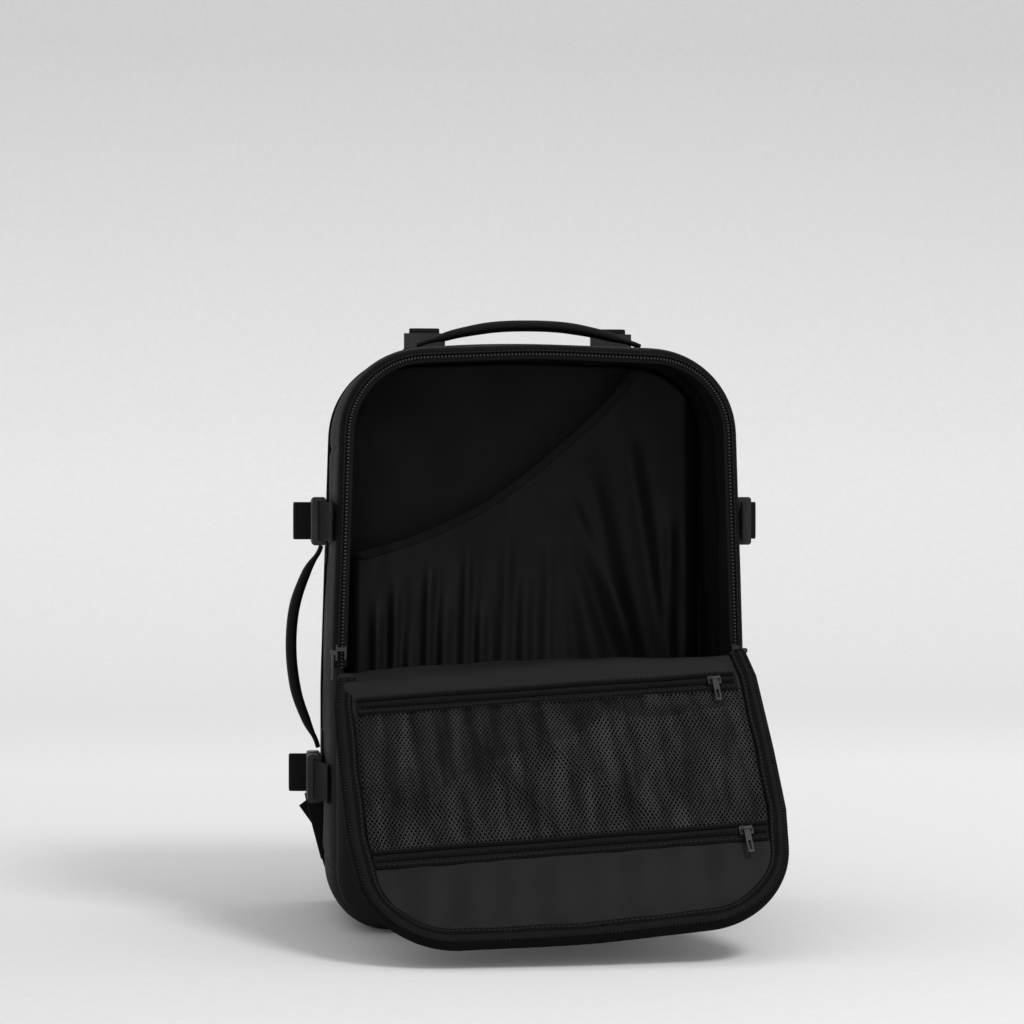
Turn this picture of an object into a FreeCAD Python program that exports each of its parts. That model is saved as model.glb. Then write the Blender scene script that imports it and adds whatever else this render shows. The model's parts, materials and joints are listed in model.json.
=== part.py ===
import FreeCAD, Part
import math
import os

from FreeCAD import Placement, Rotation, Vector

# A clamshell travel backpack, in millimetres: +Z up, the front faces -Y, and X runs
# across the bag. The origin is on the floor under the middle of the body. The front
# flap is stored open, folded down with its free end near the floor.

# ---- driving dimensions ----
HEIGHT = 453.0            # body, floor to the middle of the top
HALF_BASE = 162.0         # half width of the body, up to the shoulder of its sides
SHOULDER_Z = 180.0        # above this height the sides lean inwards
HALF_TOP = 153.5          # half width that the leaning sides reach at the top corners
TOP_FALL = 6.0            # the top is this much lower at its corners than at its middle
CORNER_TOP, CORNER_BASE = 68.0, 45.0
SIDE_BEND, TOP_BEND = 300.0, 600.0

RIM_Y, BAND_BACK_Y = -85.0, 85.0    # front rim and rear edge of the sides
FRONT_Y = -100.0          # outside of the closed flap and of the lower front
BACK_Y = 90.0             # outside of the back panel
WALL = 5.0                # padded wall of the sides, top and base
ROLL, ROLL_DEPTH = 5.0, 8.0         # the walls roll inwards by this much at the front rim
LINING = 1.2
SEAM_TAPE = 1.5
GAP = 0.3                 # air between pieces that only lie beside each other

HINGE_Y, HINGE_Z = FRONT_Y - 1.0, 202.0
FLAP_LENGTH = 245.0       # from the fold line to the flap's free end
FLAP_OPEN = 139.5         # degrees that the flap turns from closed to open
FOLD_TILT = 2.0           # degrees that the fold's line rises towards the bag's right
FLAP_START = HINGE_Z + 2.0
BINDING = 12.0            # width of the binding round the flap
ZIP_BAND_1 = (23.0, 37.0)     # mesh pocket's zip, measured along the flap from the fold
ZIP_BAND_2 = (159.0, 175.0)   # end pocket's zip

WEB, WEB_T = 30.0, 1.6    # compression webbing: width and thickness
NARROW_WEB = 25.0
BUCKLE_HALF = 19.0
UPPER_STRAP_Z, LOWER_STRAP_Z = 315.0, 113.0

HANDLE_HALF = 84.0        # half length of the top grip
HANDLE_PEAK = 475.5
HANDLE_AXIS_Z = 458.3
GRIP_T = 9.0
SIDE_GRIP = (135.0, 293.0)    # heights of the side grip's two ends
SIDE_GRIP_Y = 20.0

HUGE = 1000.0
Y_AXIS = Vector(0, 1, 0)


# ---- helpers ----
def box(x0, x1, y0, y1, z0, z1):
    return Part.makeBox(x1 - x0, y1 - y0, z1 - z0, Vector(x0, y0, z0))


def mirrored(shape):
    return shape.mirror(Vector(0, 0, 0), Vector(1, 0, 0))


def both(shape):
    """The piece and its mirror image, as one group of two solids."""
    return Part.makeCompound([shape, mirrored(shape)])


def fused(*shapes):
    return shapes[0].multiFuse(list(shapes[1:])).removeSplitter()


def moved(shape, place):
    result = shape.copy()
    result.transformShape(place.toMatrix(), True)
    return result


def rounded_loop(points, radii):
    """A closed wire in the XZ plane through the points, with each corner rounded."""
    places = [Vector(x, 0, z) for x, z in points]
    corners = []
    for i, corner in enumerate(places):
        back = (places[i - 1] - corner).normalize()
        ahead = (places[(i + 1) % len(places)] - corner).normalize()
        inward = (back + ahead).normalize()
        half = math.acos(back.dot(ahead)) / 2
        run = radii[i] / math.tan(half)
        middle = corner + inward * (radii[i] / math.sin(half) - radii[i])
        corners.append((corner + back * run, middle, corner + ahead * run))
    edges = []
    for i, (start, middle, end) in enumerate(corners):
        edges.append(Part.Arc(start, middle, end).toShape())
        following = corners[(i + 1) % len(corners)][0]
        if (following - end).Length > 1e-6:
            edges.append(Part.LineSegment(end, following).toShape())
    return Part.Wire(edges)


def plate(points, radii, y0, y1):
    """A flat piece: a rounded outline in the XZ plane, extruded from y0 to y1."""
    face = Part.Face(rounded_loop(points, radii))
    face.translate(Vector(0, y0, 0))
    return face.extrude(Vector(0, y1 - y0, 0))


def prism_z(points, z0, z1):
    """A polygon in the XY plane, extruded from z0 to z1."""
    wire = Part.makePolygon([Vector(x, y, z0) for x, y in points + points[:1]])
    return Part.Face(wire).extrude(Vector(0, 0, z1 - z0))


def side_x(z):
    """Half width of the body at height z, on the straight parts of its sides."""
    lean = (HALF_BASE - HALF_TOP) / (HEIGHT - TOP_FALL - SHOULDER_Z)
    return HALF_BASE - lean * max(0.0, z - SHOULDER_Z)


def inset_points(points, distance):
    """The corners of a convex polygon, drawn anticlockwise, moved inwards."""
    lines = []
    for i, (x0, z0) in enumerate(points):
        x1, z1 = points[(i + 1) % len(points)]
        length = math.hypot(x1 - x0, z1 - z0)
        nx, nz = -(z1 - z0) / length, (x1 - x0) / length
        lines.append((nx, nz, nx * x0 + nz * z0 + distance))
    moved_in = []
    for i in range(len(points)):
        a, b, c = lines[i - 1]
        d, e, f = lines[i]
        det = a * e - b * d
        moved_in.append(((c * e - b * f) / det, (a * f - c * d) / det))
    return moved_in


def bag_slab(inset, y0, y1):
    """The body's front outline, drawn in by inset, as a solid from y0 to y1."""
    corner_z = HEIGHT - TOP_FALL
    points = [(-HALF_BASE, 0), (HALF_BASE, 0), (HALF_BASE, SHOULDER_Z),
              (HALF_TOP, corner_z), (0, HEIGHT), (-HALF_TOP, corner_z),
              (-HALF_BASE, SHOULDER_Z)]
    radii = [CORNER_BASE, CORNER_BASE, SIDE_BEND, CORNER_TOP, TOP_BEND,
             CORNER_TOP, SIDE_BEND]
    radii = [radius - inset for radius in radii]
    return plate(inset_points(points, inset), radii, y0, y1)


def bag_ring(outer, inner, y0, y1):
    """A band that follows the body's outline, between two insets."""
    return bag_slab(outer, y0, y1).cut(bag_slab(inner, y0 - 1, y1 + 1))


def rolled_slab(inset):
    """The body's outline as a solid whose front edge is drawn in towards the rim."""
    straight = bag_slab(inset, RIM_Y + ROLL_DEPTH, BAND_BACK_Y)
    wires = []
    for extra, y in ((0, RIM_Y + ROLL_DEPTH), (ROLL, RIM_Y)):
        thin = bag_slab(inset + extra, y, y + 1)
        front = min(thin.Faces, key=lambda face: face.CenterOfMass.y)
        wires.append(front.OuterWire)
    return fused(straight, Part.makeLoft(wires, True))


def clipped(shape, z0, z1):
    return shape.common(box(-HUGE, HUGE, -HUGE, HUGE, z0, z1))


def on_flap(shape):
    """Turns a piece drawn on the closed flap to where the open flap holds it."""
    turned = shape.copy()
    tilt = math.radians(FOLD_TILT)
    fold_line = Vector(math.cos(tilt), 0, math.sin(tilt))
    turned.rotate(Vector(0, HINGE_Y, HINGE_Z), fold_line, FLAP_OPEN)
    return turned


def on_right_side(shape, z):
    """Sets a piece, drawn with x outwards from the side and z along it, at height z."""
    lean = math.degrees(math.atan2(side_x(SHOULDER_Z + 1) - side_x(SHOULDER_Z + 101), 100))
    return moved(shape, Placement(Vector(side_x(z), 0, z), Rotation(Y_AXIS, -lean)))


nodes = {}


# ---- the body's walls, sewn from four padded panels ----
band = rolled_slab(0).cut(rolled_slab(WALL))
SIDE_LOW, SIDE_HIGH = 48.0, 372.0
left_half = box(-HUGE, 0, -HUGE, HUGE, -HUGE, HUGE)
side_strip = clipped(band, SIDE_LOW, SIDE_HIGH)
nodes["base_panel"] = clipped(band, -1, SIDE_LOW)
nodes["top_panel"] = clipped(band, SIDE_HIGH, HUGE)
nodes["left_side_panel"] = side_strip.common(left_half)
nodes["right_side_panel"] = side_strip.cut(left_half)

INNER = WALL + GAP + LINING      # inset of the lining's inner face
BACK_WALL_Y = 77.3               # front of the padded rear wall
LINING_START = RIM_Y + ROLL_DEPTH + 0.5
nodes["compartment_lining"] = bag_ring(WALL + GAP, INNER, LINING_START, BACK_WALL_Y - GAP)
nodes["lining_seam_tape"] = bag_ring(INNER + GAP, INNER + GAP + SEAM_TAPE, -12, -4)
BOARD_Z = INNER + 2 * GAP + SEAM_TAPE
nodes["base_board"] = box(-108, 108, -78, 70, BOARD_Z, BOARD_Z + 2.5)

# ---- the back: rear wall pad, stiffener sheet, outer panel and its pads ----
nodes["back_wall_pad"] = bag_slab(INNER + GAP, BACK_WALL_Y, 81.9)
nodes["frame_sheet"] = bag_slab(14, 82.2, 83.7)
nodes["back_panel"] = bag_slab(0, BAND_BACK_Y + GAP, BACK_Y)

PAD_Y0, PAD_Y1 = BACK_Y + GAP, BACK_Y + GAP + 8
column = plate([(22, 150), (108, 150), (104, 396), (22, 396)], [18] * 4, PAD_Y0, PAD_Y1)
lumbar = plate([(-112, 38), (112, 38), (112, 138), (-112, 138)], [22] * 4, PAD_Y0, PAD_Y1)
nodes["back_pads"] = Part.makeCompound([column, mirrored(column), lumbar])

# ---- the fixed lower front, below the fold ----
FOLD_CLEAR = 2.5
lower_front = bag_slab(ROLL, FRONT_Y, RIM_Y - GAP)
nodes["lower_front_panel"] = clipped(lower_front, -1, HINGE_Z - FOLD_CLEAR)
lower_lining = bag_slab(ROLL + WALL + GAP, RIM_Y, RIM_Y + 1)
nodes["lower_front_lining"] = clipped(lower_lining, -1, HINGE_Z - FOLD_CLEAR)

# ---- the sleeve pocket on the rear wall, with its elastic hem ----
POCKET_Y, POCKET_T = 48.0, 2.0
POCKET_BASE_Z = 12.0
HEM_LEFT, HEM_MIDDLE, HEM_RIGHT = (-132, 290), (-17, 339), (92, 437)


def under_hem(drop, x_end):
    """The region below the pocket's curved hem, lowered by drop, as a thick solid."""
    left, middle, right = [Vector(x, 0, z - drop) for x, z in (HEM_LEFT, HEM_MIDDLE, HEM_RIGHT)]
    outer = [Vector(-x_end, 0, 280 - drop), Vector(x_end, 0, right.z + (x_end - right.x) * 0.95)]
    floor = [Vector(x_end, 0, 0), Vector(-x_end, 0, 0)]
    edges = [Part.LineSegment(outer[0], left).toShape(),
             Part.Arc(left, middle, right).toShape(),
             Part.LineSegment(right, outer[1]).toShape(),
             Part.LineSegment(outer[1], floor[0]).toShape(),
             Part.LineSegment(floor[0], floor[1]).toShape(),
             Part.LineSegment(floor[1], outer[0]).toShape()]
    return Part.Face(Part.Wire(edges)).extrude(Vector(0, BACK_WALL_Y, 0))


POCKET_HALF, POCKET_FLAT = 150.0, 128.0      # at the wall, and across its flat front
pocket_front = [(-POCKET_HALF, BACK_WALL_Y - GAP), (-POCKET_FLAT, POCKET_Y),
                (POCKET_FLAT, POCKET_Y), (POCKET_HALF, BACK_WALL_Y - GAP)]
pocket_back = [(POCKET_HALF - 2.6, BACK_WALL_Y - GAP), (POCKET_FLAT - 1.2, POCKET_Y + POCKET_T),
               (-POCKET_FLAT + 1.2, POCKET_Y + POCKET_T), (-POCKET_HALF + 2.6, BACK_WALL_Y - GAP)]
channel = prism_z(pocket_front + pocket_back, POCKET_BASE_Z, HEIGHT)
channel = channel.common(bag_slab(INNER + 2, 0, BAND_BACK_Y))
nodes["sleeve_pocket"] = channel.common(under_hem(0, POCKET_HALF + 3))
hem = under_hem(0, 124).cut(under_hem(7, 125))
hem = hem.common(box(-124, 124, POCKET_Y - 1.3, POCKET_Y - GAP, 0, HEIGHT))
nodes["sleeve_hem_elastic"] = hem.common(bag_slab(INNER + 2, 0, BAND_BACK_Y))

# ---- the main zip's fixed half, round the rim above the fold ----
RIM_START = HINGE_Z + 1.0
rim_binding = bag_ring(ROLL, ROLL + 1.8, RIM_Y - 2.5, RIM_Y - 0.2)
nodes["rim_binding"] = clipped(rim_binding, RIM_START, HUGE)
rim_tape = bag_ring(ROLL + 2.2, ROLL + WALL, RIM_Y - 0.6, RIM_Y - 0.2)
rim_coil = bag_ring(ROLL + 2.2, ROLL + 4, RIM_Y - 2.6, RIM_Y - 0.8)
nodes["body_zip_tape"] = clipped(rim_tape, RIM_START, HUGE)
nodes["body_zip_coil"] = clipped(rim_coil, RIM_START, HUGE)

# ---- the flap, drawn closed and turned open ----
FLAP_END = HINGE_Z + FLAP_LENGTH
flap_cap = box(-HUGE, HUGE, -HUGE, HUGE, FLAP_START, HUGE)
flap_drop = HEIGHT - ROLL - FLAP_END     # its free end stops this much short of the rim's
PANEL_Y = FRONT_Y + 5.0          # inner face of the flap's padded panel
LINING_Y = PANEL_Y + 1.2         # inner face of its lining
SKIN_Y0, SKIN_Y1 = LINING_Y + GAP, LINING_Y + 2.3    # pockets and binding on the lining


def flap_slab(inset, y0, y1, z0=FLAP_START):
    slab = bag_slab(ROLL + inset, y0, y1)
    slab.translate(Vector(0, 0, -flap_drop))
    return slab.common(box(-HUGE, HUGE, -HUGE, HUGE, z0, HUGE))


def flap_ring(outer, inner, y0, y1):
    return flap_slab(outer, y0, y1).cut(flap_slab(inner, y0 - 1, y1 + 1, 0))


def along_flap(start, end, inset, y0, y1):
    """A strip across the flap, between two distances from the fold."""
    return clipped(flap_slab(inset, y0, y1), HINGE_Z + start, HINGE_Z + end)


nodes["flap_panel"] = on_flap(flap_slab(0, FRONT_Y, PANEL_Y))
nodes["flap_lining"] = on_flap(flap_slab(1, PANEL_Y + 0.2, LINING_Y))
nodes["flap_binding"] = on_flap(flap_ring(0, BINDING, SKIN_Y0, SKIN_Y1))
nodes["flap_zip_tape"] = on_flap(flap_ring(0.3, 9, SKIN_Y1 + 0.2, SKIN_Y1 + 0.6))
nodes["flap_zip_coil"] = on_flap(flap_ring(2.2, 4.0, SKIN_Y1 + 0.8, SKIN_Y1 + 2.5))

POCKET_INSET = BINDING + GAP
nodes["mesh_pocket"] = on_flap(
    along_flap(ZIP_BAND_1[1] + GAP, ZIP_BAND_2[0] - GAP, POCKET_INSET, SKIN_Y0, SKIN_Y1))
nodes["end_pocket"] = on_flap(
    along_flap(ZIP_BAND_2[1] + GAP, FLAP_LENGTH - BINDING, POCKET_INSET, SKIN_Y0, SKIN_Y1))

TAPE_Y1 = SKIN_Y0 + 0.9
COIL_Y0, COIL_Y1 = TAPE_Y1 + 0.2, TAPE_Y1 + 2.0
COIL_HALF = 2.0
zip_tapes, zip_coils = [], []
for start, end in (ZIP_BAND_1, ZIP_BAND_2):
    middle = (start + end) / 2
    zip_tapes.append(along_flap(start, end, POCKET_INSET, SKIN_Y0, TAPE_Y1))
    zip_coils.append(along_flap(middle - COIL_HALF, middle + COIL_HALF,
                                POCKET_INSET + 3, COIL_Y0, COIL_Y1))
nodes["pocket_zip_tapes"] = on_flap(Part.makeCompound(zip_tapes))
nodes["pocket_zip_coils"] = on_flap(Part.makeCompound(zip_coils))

# ---- zip sliders and pulls ----
PIN_R, EYE_R = 0.7, 1.0
PIN_Z = 2.3                      # height of the pin over the slider's plate
EAR_IN, EAR_OUT = 2.6, 3.6       # the two ears stand either side of the pull's eye
PULL_LENGTH = 21.0


def slider_top(plate_half_run, plate_half_across):
    """Top plate with two ears and the pull's pin. The pin runs along y, z is up off
    the plate, and the plate's upper face is at z = 0."""
    top = box(-plate_half_across, plate_half_across, -plate_half_run, plate_half_run, -1, 0)
    ears = [box(-1.6, 1.6, side - 0.5, side + 0.5, -0.5, PIN_Z + 1.4)
            for side in (-(EAR_IN + EAR_OUT) / 2, (EAR_IN + EAR_OUT) / 2)]
    pin = Part.makeCylinder(PIN_R, 2 * EAR_OUT, Vector(0, -EAR_OUT, PIN_Z), Y_AXIS)
    return fused(top, *ears, pin)


def pull_tab():
    """The pull, lying along -x from the pin, with a hole for a cord at its far end."""
    bar = box(-PULL_LENGTH, 0, -2.2, 2.2, PIN_Z - 0.7, PIN_Z + 0.7)
    knuckle = Part.makeCylinder(1.8, 4.4, Vector(0, -2.2, PIN_Z), Y_AXIS)
    eye = Part.makeCylinder(EYE_R, 6, Vector(0, -3, PIN_Z), Y_AXIS)
    slot = box(-PULL_LENGTH + 2.2, -PULL_LENGTH + 10, -1, 1, 0, 5)
    return fused(bar, knuckle).cut(eye).cut(slot)


def pocket_slider_at(x, band):
    """Slider and pull of a pocket zip on the flap; the pull lies towards the free end."""
    flanges = [box(-COIL_HALF - 1.4, -COIL_HALF - 0.4, -5, 5, -2.8, -0.5),
               box(COIL_HALF + 0.4, COIL_HALF + 1.4, -5, 5, -2.8, -0.5)]
    slider = fused(slider_top(5, COIL_HALF + 1.4), *flanges)
    # x of the slider runs away from the free end, y along the zip, z off the lining
    turn = Placement(Vector(x, COIL_Y1 + 1.4, HINGE_Z + sum(band) / 2),
                     Rotation(Vector(0, 0, -1), Vector(-1, 0, 0), Vector(0, 1, 0), "XYZ"))
    return on_flap(moved(slider, turn)), on_flap(moved(pull_tab(), turn))


POCKET_SLIDER_X = 128.0
nodes["mesh_zip_slider"], nodes["mesh_zip_pull"] = pocket_slider_at(POCKET_SLIDER_X, ZIP_BAND_1)
nodes["end_zip_slider"], nodes["end_zip_pull"] = pocket_slider_at(POCKET_SLIDER_X, ZIP_BAND_2)

MAIN_SLIDER_Z = 215.0
MAIN_ZIP_Y = RIM_Y - 3.3         # between the body's coil and the closed flap's coil
outwards = Placement(Vector(1.5 - ROLL, MAIN_ZIP_Y, 0),
                     Rotation(Vector(0, 0, 1), Vector(0, -1, 0), Vector(1, 0, 0), "XYZ"))
outer_plate = moved(slider_top(3.5, 6), outwards)
inner_plate = box(-6.4, -5.2, MAIN_ZIP_Y - 2.3, MAIN_ZIP_Y + 2.5, -5, 5)
post = box(-5.3, 0.6, MAIN_ZIP_Y - 0.5, MAIN_ZIP_Y + 0.5, 1, 4)
inside = fused(inner_plate, post).translated(Vector(-ROLL, 0, 0))
main_slider = on_right_side(fused(outer_plate, inside), MAIN_SLIDER_Z)
main_pull = on_right_side(moved(pull_tab(), outwards), MAIN_SLIDER_Z)
nodes["main_slider_right"], nodes["main_slider_left"] = main_slider, mirrored(main_slider)
nodes["main_pull_right"], nodes["main_pull_left"] = main_pull, mirrored(main_pull)

# ---- compression straps across each side ----
# Drawn for the right side at height 0, with x outwards from the panel.
HALF_WEB = WEB / 2
SOCKET_Y = (-36.0, -8.0)
PLUG_Y = (-7.5, 14.0)
BUCKLE_X = (5.0, 16.0)
TAIL_OUT = 29.0

front_web = prism_z([(GAP, -76), (GAP + WEB_T, -76), (11.3, -37), (11.3, -31.5),
                     (9.7, -31.5), (9.7, -37)], -HALF_WEB, HALF_WEB)
rear_web = prism_z([(GAP, 79), (3.0, 40), (3.0, 0), (3.0 + WEB_T, 0), (3.0 + WEB_T, 40),
                    (GAP + WEB_T, 79)], -HALF_WEB, HALF_WEB)
socket = box(*BUCKLE_X, *SOCKET_Y, -BUCKLE_HALF, BUCKLE_HALF)
socket = socket.makeFillet(2.5, [e for e in socket.Edges if abs(e.tangentAt(e.FirstParameter).y) > 0.9])
socket = socket.cut(box(7.5, 13.5, -28, 0, -15, 15))
socket = socket.cut(box(9.4, 11.6, -37, -31, -HALF_WEB - 0.4, HALF_WEB + 0.4))
for side in (-1, 1):
    window = box(4, 17, -24, -14, min(side * 13, side * 20), max(side * 13, side * 20))
    socket = socket.cut(window)
plug_body = box(*BUCKLE_X, *PLUG_Y, -BUCKLE_HALF + 1, BUCKLE_HALF - 1)
plug_body = plug_body.makeFillet(2.5, [e for e in plug_body.Edges
                                       if abs(e.tangentAt(e.FirstParameter).y) > 0.9])
plug_body = plug_body.cut(box(8, 17, 3, 6, -HALF_WEB - 0.4, HALF_WEB + 0.4))
prongs = [box(8, 13, -27.5, -7, z0, z1) for z0, z1 in ((-14.5, -9), (-2, 2), (9, 14.5))]
plug = fused(plug_body, *prongs)
tail = prism_z([(6, 14.3), (14, 14.3), (22, 17), (TAIL_OUT, 20), (TAIL_OUT, 21.6),
                (21.5, 18.6), (13.5, 15.9), (6, 15.9)], -HALF_WEB, HALF_WEB)


def strap_place(z):
    return Vector(side_x(z - BUCKLE_HALF), 0, z)


def at_straps(shape):
    """One copy of a strap piece at each of the four straps."""
    copies = []
    for z in (UPPER_STRAP_Z, LOWER_STRAP_Z):
        right = shape.translated(strap_place(z))
        copies += [right, mirrored(right)]
    return Part.makeCompound(copies)


nodes["strap_front_webs"] = at_straps(front_web)
nodes["strap_rear_webs"] = at_straps(rear_web)
nodes["buckle_sockets"] = at_straps(socket)
for level, z in (("upper", UPPER_STRAP_Z), ("lower", LOWER_STRAP_Z)):
    for name, shape in (("plug", plug), ("tail", tail)):
        right = shape.translated(strap_place(z))
        nodes[f"{level}_right_{name}"] = right
        nodes[f"{level}_left_{name}"] = mirrored(right)

# ---- top handle ----
def arch(ends, peak, thickness, end_thickness):
    """The region between an outer and an inner arc in the XZ plane, as edges."""
    (xa, za), (xb, zb) = ends
    outer = Part.Arc(Vector(xa, 0, za), Vector(peak[0], 0, peak[1]), Vector(xb, 0, zb))
    inner = Part.Arc(Vector(xb, 0, zb - end_thickness),
                     Vector(peak[0], 0, peak[1] - thickness), Vector(xa, 0, za - end_thickness))
    joins = [Part.LineSegment(Vector(xb, 0, zb), Vector(xb, 0, zb - end_thickness)),
             Part.LineSegment(Vector(xa, 0, za - end_thickness), Vector(xa, 0, za))]
    edges = [outer.toShape(), joins[0].toShape(), inner.toShape(), joins[1].toShape()]
    return Part.Face(Part.Wire(edges)).extrude(Vector(0, HUGE, 0)).translated(
        Vector(0, -HUGE / 2, 0))


def grip_plan(half_length, half_width, half_end):
    """Plan of a grip, wide in the middle and narrow at its ends, in the XY plane."""
    shoulder = half_length * 0.62
    points = [(-half_length, -half_end), (-shoulder, -half_width), (shoulder, -half_width),
              (half_length, -half_end), (half_length, half_end), (shoulder, half_width),
              (-shoulder, half_width), (-half_length, half_end)]
    return prism_z(points, -HUGE, HUGE)


END_T = 3.5
grip = arch([(-HANDLE_HALF, HANDLE_AXIS_Z + 1.7), (HANDLE_HALF, HANDLE_AXIS_Z + 1.7)],
            (0, HANDLE_PEAK), GRIP_T, END_T)
nodes["top_handle"] = grip.common(grip_plan(HANDLE_HALF, 11, 5))
top_slope = math.degrees(math.atan2(TOP_FALL, HALF_TOP))
patch = fused(box(-16, 16, -14, 14, GAP, GAP + WEB_T), box(-5, 8, -9, 9, GAP, 3.0))
patch = moved(patch, Placement(Vector(HANDLE_HALF, 0, HEIGHT - TOP_FALL * HANDLE_HALF / HALF_TOP),
                               Rotation(Y_AXIS, top_slope)))
nodes["top_handle_anchors"] = both(patch)

# ---- side handle, on the left ----
side_low, side_high = SIDE_GRIP
stand_off = [Vector(x, 0, z) for x, z in ((-171, side_low), (-194, 212), (-168, side_high))]
stand_in = [Vector(x, 0, z) for x, z in ((-164.5, side_high), (-185.5, 214), (-167.5, side_low))]
edges = [Part.Arc(*stand_off).toShape(),
         Part.LineSegment(stand_off[2], stand_in[0]).toShape(),
         Part.Arc(*stand_in).toShape(),
         Part.LineSegment(stand_in[2], stand_off[0]).toShape()]
side_grip = Part.Face(Part.Wire(edges)).extrude(Vector(0, 80, 0)).translated(
    Vector(0, SIDE_GRIP_Y - 40, 0))
middle_z = (side_low + side_high) / 2
plan = grip_plan((side_high - side_low) / 2, 12, 5)
plan.rotate(Vector(0, 0, 0), Y_AXIS, 90)
plan.translate(Vector(0, SIDE_GRIP_Y, middle_z))
nodes["side_handle"] = side_grip.common(plan)
patches = []
for z in (side_low + 5, side_high - 5):
    flat = box(-(GAP + WEB_T), -GAP, SIDE_GRIP_Y - 14, SIDE_GRIP_Y + 14, -7, 7)
    patches.append(flat.translated(Vector(-side_x(z - 7), 0, z)))
nodes["side_handle_anchors"] = Part.makeCompound(patches)

# ---- shoulder straps, their yoke, adjusters and lower webbing ----
STRAP_Y0, STRAP_Y1 = PAD_Y1 + 2.7, PAD_Y1 + 13.7
nodes["strap_yoke"] = plate([(-104, 402), (104, 402), (98, 440), (-98, 440)], [10] * 4,
                            PAD_Y0, PAD_Y0 + 6.5)
strap_outline = [(38, 448), (46, 300), (54, 205), (64, 150), (96, 150), (106, 205),
                 (108, 300), (98, 448)]
strap = plate(strap_outline[::-1], [8, 60, 60, 6, 6, 60, 60, 8], STRAP_Y0, STRAP_Y1)
nodes["shoulder_strap_right"], nodes["shoulder_strap_left"] = strap, mirrored(strap)

lock = box(63, 97, STRAP_Y0 + 1, STRAP_Y0 + 7, 129, 149.7)
for z0 in (133, 142):
    lock = lock.cut(box(66.5, 93.5, STRAP_Y0, STRAP_Y1, z0, z0 + 3.6))
nodes["adjuster_right"], nodes["adjuster_left"] = lock, mirrored(lock)

FIN_Y0, FIN_Y1 = BAND_BACK_Y + 1, BACK_Y - 0.5
fin = plate([(HALF_BASE + 0.4, 28), (HALF_BASE + 0.4, 92), (HALF_BASE + 17, 88)],
            [1, 1, 3], FIN_Y0, FIN_Y1)
nodes["strap_anchor_fins"] = both(fin)

web_from, web_to = Vector(172, BACK_Y + 2.2, 76), Vector(88, STRAP_Y0 + 2.5, 116)
run = web_to - web_from
lower_web = box(0, run.Length, -WEB_T / 2, WEB_T / 2, -NARROW_WEB / 2, NARROW_WEB / 2)
along_run = Rotation(run, Y_AXIS, Vector(0, 0, 0), "XYZ")
lower_web = moved(lower_web, Placement(web_from, along_run))
nodes["lower_strap_webs"] = both(lower_web)

# ---- load lifters on the top rear edge ----
LIFTER_X = 78.0
lifter_lock = box(LIFTER_X - 17, LIFTER_X + 17, 86, 92, 457, 470)
lifter_lock = lifter_lock.cut(box(LIFTER_X - 13.2, LIFTER_X + 13.2, 88, 90.4, 453, 473))
lifter_web = box(LIFTER_X - 12.5, LIFTER_X + 12.5, 88.4, 90.0, 453.6, 473)
nodes["load_lifter_locks"] = both(lifter_lock)
nodes["load_lifter_webs"] = both(lifter_web)

os.makedirs("parts", exist_ok=True)
for name, shape in nodes.items():
    for solid in shape.Solids:
        if not solid.isValid() or solid.Volume <= 0:
            raise ValueError(f"{name} has a bad solid")
    shape.exportStep(f"parts/{name}.step")
print(len(nodes), "nodes")
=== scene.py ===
import json
import math

import bpy
import numpy as np
from mathutils import Matrix, Vector


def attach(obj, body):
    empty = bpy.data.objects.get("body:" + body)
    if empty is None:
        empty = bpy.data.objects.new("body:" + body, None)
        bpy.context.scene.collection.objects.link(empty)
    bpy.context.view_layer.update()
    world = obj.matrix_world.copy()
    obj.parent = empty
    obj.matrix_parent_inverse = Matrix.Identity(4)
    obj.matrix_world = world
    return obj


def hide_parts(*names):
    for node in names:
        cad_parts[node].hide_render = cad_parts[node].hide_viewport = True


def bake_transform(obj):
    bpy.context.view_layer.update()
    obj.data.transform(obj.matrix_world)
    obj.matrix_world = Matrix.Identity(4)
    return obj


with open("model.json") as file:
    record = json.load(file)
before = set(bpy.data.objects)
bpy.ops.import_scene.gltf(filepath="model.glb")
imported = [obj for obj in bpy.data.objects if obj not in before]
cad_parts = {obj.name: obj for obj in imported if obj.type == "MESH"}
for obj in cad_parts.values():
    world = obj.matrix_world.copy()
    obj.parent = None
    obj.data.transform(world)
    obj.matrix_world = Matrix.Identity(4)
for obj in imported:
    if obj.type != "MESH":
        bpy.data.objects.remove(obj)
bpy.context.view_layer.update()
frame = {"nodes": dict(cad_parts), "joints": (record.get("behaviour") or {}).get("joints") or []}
MM = 0.001

# ---- studio ----
# The bag stands on a pale seamless sweep: a matt painted floor that curves up into a
# wall. One large soft lamp stands high at the front right, with a weak low fill in front.
YAW = math.radians(5.5)          # the camera stands a little to the bag's left
DISTANCE, EYE_LEVEL, ASIDE = 2.140, 0.334, 0.0215
RIM_PLANE = -0.085

forward = Vector((math.sin(YAW), math.cos(YAW), 0))
rightward = Vector((math.cos(YAW), -math.sin(YAW), 0))
eye = Vector((0, RIM_PLANE, EYE_LEVEL)) - forward * DISTANCE - rightward * ASIDE
bpy.ops.object.camera_add(location=eye, rotation=(math.radians(90 - 0.31), 0, -YAW))
camera = bpy.context.object
camera.data.lens = 97.45
camera.data.sensor_width = 36
bpy.context.scene.camera = camera


def linear(code):
    """An sRGB hex colour as linear red, green, blue and alpha."""
    parts = [int(code[i:i + 2], 16) / 255 for i in (1, 3, 5)]
    curve = [c / 12.92 if c <= 0.04045 else ((c + 0.055) / 1.055) ** 2.4 for c in parts]
    return (*curve, 1)


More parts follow.
